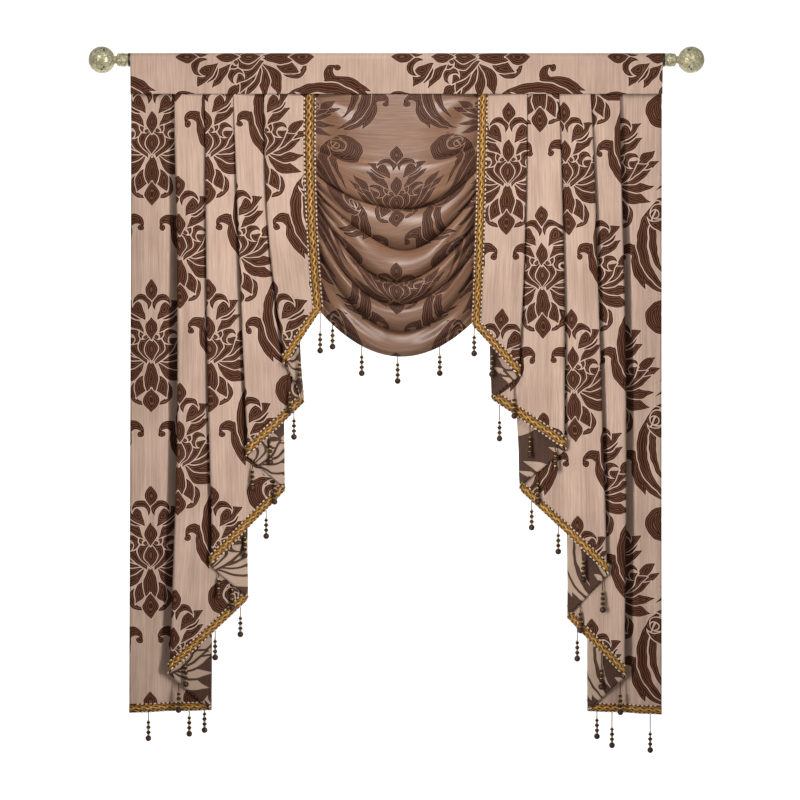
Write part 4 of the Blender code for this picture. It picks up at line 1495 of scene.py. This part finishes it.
class VALANCE_OT_swag(Operator):
    """Drape the swag with its cowl folds, and lay the palmette in its middle"""

    bl_idname = "valance.swag"
    bl_label = "Swag"
    bl_options = {"REGISTER", "UNDO"}

    def execute(self, context):
        cloth = context.scene.valance_cloth
        swag = Swag(cloth.cowl_depth)
        across = np.sin(np.linspace(-1, 1, cloth.swag_across) * math.pi / 2)[None, :]
        down = np.linspace(0, 1, cloth.swag_down)[:, None]
        grid = swag.points(across + 0 * down, down + 0 * across)
        middle = grid[:, cloth.swag_across // 2]
        along = path_length(middle)
        tip = np.interp(SWAG_TIP_DROP, -middle[:, 2], along)
        flat = np.empty((*grid.shape[:2], 2))
        flat[..., 0] = grid[..., 0]
        flat[..., 1] = -SWAG_FULLNESS * (along - tip)[:, None]
        made = cloth_object("swag_cloth", grid, flat, cloth.thickness, damask_pair("damask_satin"))
        declare(made, "swag")
        return {"FINISHED"}


class VALANCE_OT_swag_drops(Operator):
    """Make the narrow tape behind the swag's hem and its bead drops"""

    bl_idname = "valance.swag_drops"
    bl_label = "Swag drops"
    bl_options = {"REGISTER", "UNDO"}

    def execute(self, context):
        cloth, trim = context.scene.valance_cloth, context.scene.valance_trim
        swag = Swag()
        across = np.linspace(-TAPE_SHARE, TAPE_SHARE, TAPE_COLUMNS)
        low = swag.points(across, np.ones_like(across), TAPE_BEHIND)
        share = np.linspace(1, 0, TAPE_ROWS)[:, None, None]
        grid = low[None] + share * np.array((0, 0, TAPE_WIDTH))
        flat = np.stack(np.broadcast_arrays(grid[..., 0], grid[..., 2]), axis=-1)
        band = shared_material("tape_weave", thread_material, trim.gold, trim.gold_shade, 700.0)
        tape = cloth_object("swag_tape", grid, flat, cloth.thickness, [band])
        declare(tape, "drops_swag")
        roots = []
        for drop in SWAG_DROPS:
            place = swag.points(np.array([drop.across]), np.ones(1), TAPE_BEHIND)[0]
            roots.append((place + np.array((0, 0, TAPE_ROOT_RISE)), drop.reach * MM, 0.0))
        drops = drops_object("bead_drops_swag", roots, trim, drop_materials())
        declare(drops, "drops_swag")
        return {"FINISHED"}


class VALANCE_OT_trims(Operator):
    """Make the braid along each tail's leading edge and hem, and its bead drops"""

    bl_idname = "valance.trims"
    bl_label = "Braids and drops"
    bl_options = {"REGISTER", "UNDO"}

    def execute(self, context):
        cloth, trim = context.scene.valance_cloth, context.scene.valance_trim
        materials = [
            shared_material(name, thread_material, light, shaded(light, share), *thread)
            for name, light, share, thread in (
                ("braid_ground", trim.gold_shade, 0.35, (500.0,)),
                ("gold_cord", trim.gold, 0.4, (800.0, 0.38, 0.25)),
                ("cream_stitch", trim.stitch, 0.7, (900.0,)),
                ("pale_gold_cord", trim.pale_gold, 0.5, (800.0, 0.35, 0.25)),
            )
        ]
        for name in TAIL_SIDE:
            tail = Tail(name, cloth.face_bow, trim.braid_width)
            braid = braid_object(f"braid_{name}", tail, trim, cloth.thickness, materials)
            declare(braid, f"trim_{name}")
            forward = cloth.thickness / 2 + BRAID_GAP + DROP_ROOT_FORWARD
            roots = []
            for drop in TAIL_DROPS[name]:
                share = np.array([drop.share])
                z = tail.hem(tail.place(drop.section, share, False)) + DROP_ROOT_RISE
                spot, normal = tail.on_stretch(drop.section, share, z)
                root = tail.world(spot + normal * forward, z)[0]
                lean = RETURN_DROP_LEAN if drop.section % 2 else 0.0
                roots.append((root, drop.reach * MM, lean))
            drops = drops_object(f"bead_drops_{name}", roots, trim, drop_materials())
            declare(drops, f"trim_{name}")
        return {"FINISHED"}


class VALANCE_OT_tails(Operator):
    """Fold both pleated tails from their fold tables"""

    bl_idname = "valance.tails"
    bl_label = "Tails"
    bl_options = {"REGISTER", "UNDO"}

    def execute(self, context):
        cloth, trim = context.scene.valance_cloth, context.scene.valance_trim
        for name in TAIL_SIDE:
            tail = Tail(name, cloth.face_bow, trim.braid_width)
            grid, along = tail_points(tail, cloth.tail_rows)
            flat = np.empty((*grid.shape[:2], 2))
            flat[..., 0] = along - PALMETTE_AXIS[name] * MM
            flat[..., 1] = grid[..., 2] + PALMETTE_TIP[name] * MM
            grid, flat = facing_front(grid, tail.side), facing_front(flat, tail.side)
            made = cloth_object(f"tail_cloth_{name}", grid, flat, cloth.thickness, damask_pair())
            declare(made, f"tail_{name}")
        return {"FINISHED"}


class VALANCE_OT_stage(Operator):
    """Set up the pale floor and backdrop, the soft lights and the camera"""

    bl_idname = "valance.stage"
    bl_label = "Stage"
    bl_options = {"REGISTER", "UNDO"}

    def execute(self, context):
        stage = context.scene.valance_stage
        self.add_backdrop(stage)
        self.add_light("swag_light", SWAG_LAMP, 1, stage.swag_power)
        for name, side in TAIL_SIDE.items():
            for kind, lamp in SIDE_LAMPS.items():
                self.add_light(f"{kind}_light_{name}", lamp, side, getattr(stage, f"{kind}_power"))
        world = bpy.data.worlds.new("even_light")
        world.use_nodes = True
        sky = world.node_tree.nodes["Background"]
        sky.inputs["Color"].default_value = (1, 1, 1, 1)
        sky.inputs["Strength"].default_value = stage.sky
        context.scene.world = world
        context.scene.view_settings.view_transform = "Standard"
        lens = bpy.data.cameras.new("photo_camera")
        lens.lens = CAMERA_LENS
        camera = bpy.data.objects.new("photo_camera", lens)
        camera.location = CAMERA_PLACE
        camera.rotation_euler = (math.pi / 2, 0, 0)
        context.scene.collection.objects.link(camera)
        context.scene.camera = camera
        return {"FINISHED"}

    def add_backdrop(self, stage):
        """Floor and backdrop in one sweep: a profile with a rounded corner, carried across."""
        angles = np.linspace(-math.pi / 2, 0, SWEEP_CORNER_ROWS)
        bend_y = SWEEP_DEPTH - SWEEP_CORNER + SWEEP_CORNER * np.cos(angles)
        bend_z = -stage.floor_drop + SWEEP_CORNER + SWEEP_CORNER * np.sin(angles)
        profile_y = np.concatenate(([SWEEP_FRONT], bend_y, [SWEEP_DEPTH]))
        profile_z = np.concatenate(([-stage.floor_drop], bend_z, [SWEEP_TOP]))
        grid = np.empty((len(profile_y), 3, 3))
        grid[..., 0] = np.linspace(-SWEEP_HALF_WIDTH, SWEEP_HALF_WIDTH, 3)
        grid[..., 1] = profile_y[:, None]
        grid[..., 2] = profile_z[:, None]
        paper = shared_material("backdrop_paper", plain_material, stage.backdrop)
        facing_up = grid_quads(*grid.shape[:2])[:, ::-1].tolist()
        mesh_object("studio_sweep", grid, facing_up, [paper])

    def add_light(self, name, lamp, side, power):
        """A lamp that no camera sees, mirrored to its side."""
        data = bpy.data.lights.new(name, "AREA")
        data.spread = math.radians(lamp.spread)
        data.shape = "RECTANGLE"
        data.size, data.size_y = lamp.sizes
        data.energy = power
        light = bpy.data.objects.new(name, data)
        place, target = (np.array(point) * (side, 1, 1) for point in (lamp.place, lamp.target))
        light.location = place
        light.visible_camera = False
        aim = target - place
        tilt = math.acos(-aim[2] / np.linalg.norm(aim))
        light.rotation_euler = (tilt, 0, math.atan2(aim[1], aim[0]) - math.pi / 2)
        bpy.context.scene.collection.objects.link(light)


class VALANCE_PT_sidebar(Panel):
    """Lists the valance's operators and settings"""

    bl_idname = "VALANCE_PT_sidebar"
    bl_label = "Waterfall valance"
    bl_space_type = "VIEW_3D"
    bl_region_type = "UI"
    bl_category = "Valance"

    def draw(self, context):
        for operator in OPERATORS:
            self.layout.operator(operator.bl_idname)
        for name, group in SETTINGS.items():
            box = self.layout.box()
            box.label(text=group.__name__)
            for prop in group.__annotations__:
                box.prop(getattr(context.scene, name), prop)


OPERATORS = (
    VALANCE_OT_stage,
    VALANCE_OT_rod,
    VALANCE_OT_finials,
    VALANCE_OT_heading,
    VALANCE_OT_swag_drops,
    VALANCE_OT_swag,
    VALANCE_OT_trims,
    VALANCE_OT_tails,
)
SETTINGS = {
    "valance_cloth": ClothSettings,
    "valance_damask": DamaskSettings,
    "valance_trim": TrimSettings,
    "valance_finials": FinialSettings,
    "valance_stage": StageSettings,
}


def register():
    for group in SETTINGS.values():
        bpy.utils.register_class(group)
    for name, group in SETTINGS.items():
        setattr(bpy.types.Scene, name, PointerProperty(type=group))
    for operator in OPERATORS:
        bpy.utils.register_class(operator)
    bpy.utils.register_class(VALANCE_PT_sidebar)


def unregister():
    bpy.utils.unregister_class(VALANCE_PT_sidebar)
    for operator in reversed(OPERATORS):
        bpy.utils.unregister_class(operator)
    for name in SETTINGS:
        delattr(bpy.types.Scene, name)
    for group in reversed(tuple(SETTINGS.values())):
        bpy.utils.unregister_class(group)


def main():
    register()
    bpy.ops.valance.stage()
    bpy.ops.valance.rod()
    bpy.ops.valance.finials()
    bpy.ops.valance.heading()
    bpy.ops.valance.swag_drops()
    bpy.ops.valance.swag()
    bpy.ops.valance.trims()
    bpy.ops.valance.tails()


if __name__ == "__main__":
    main()
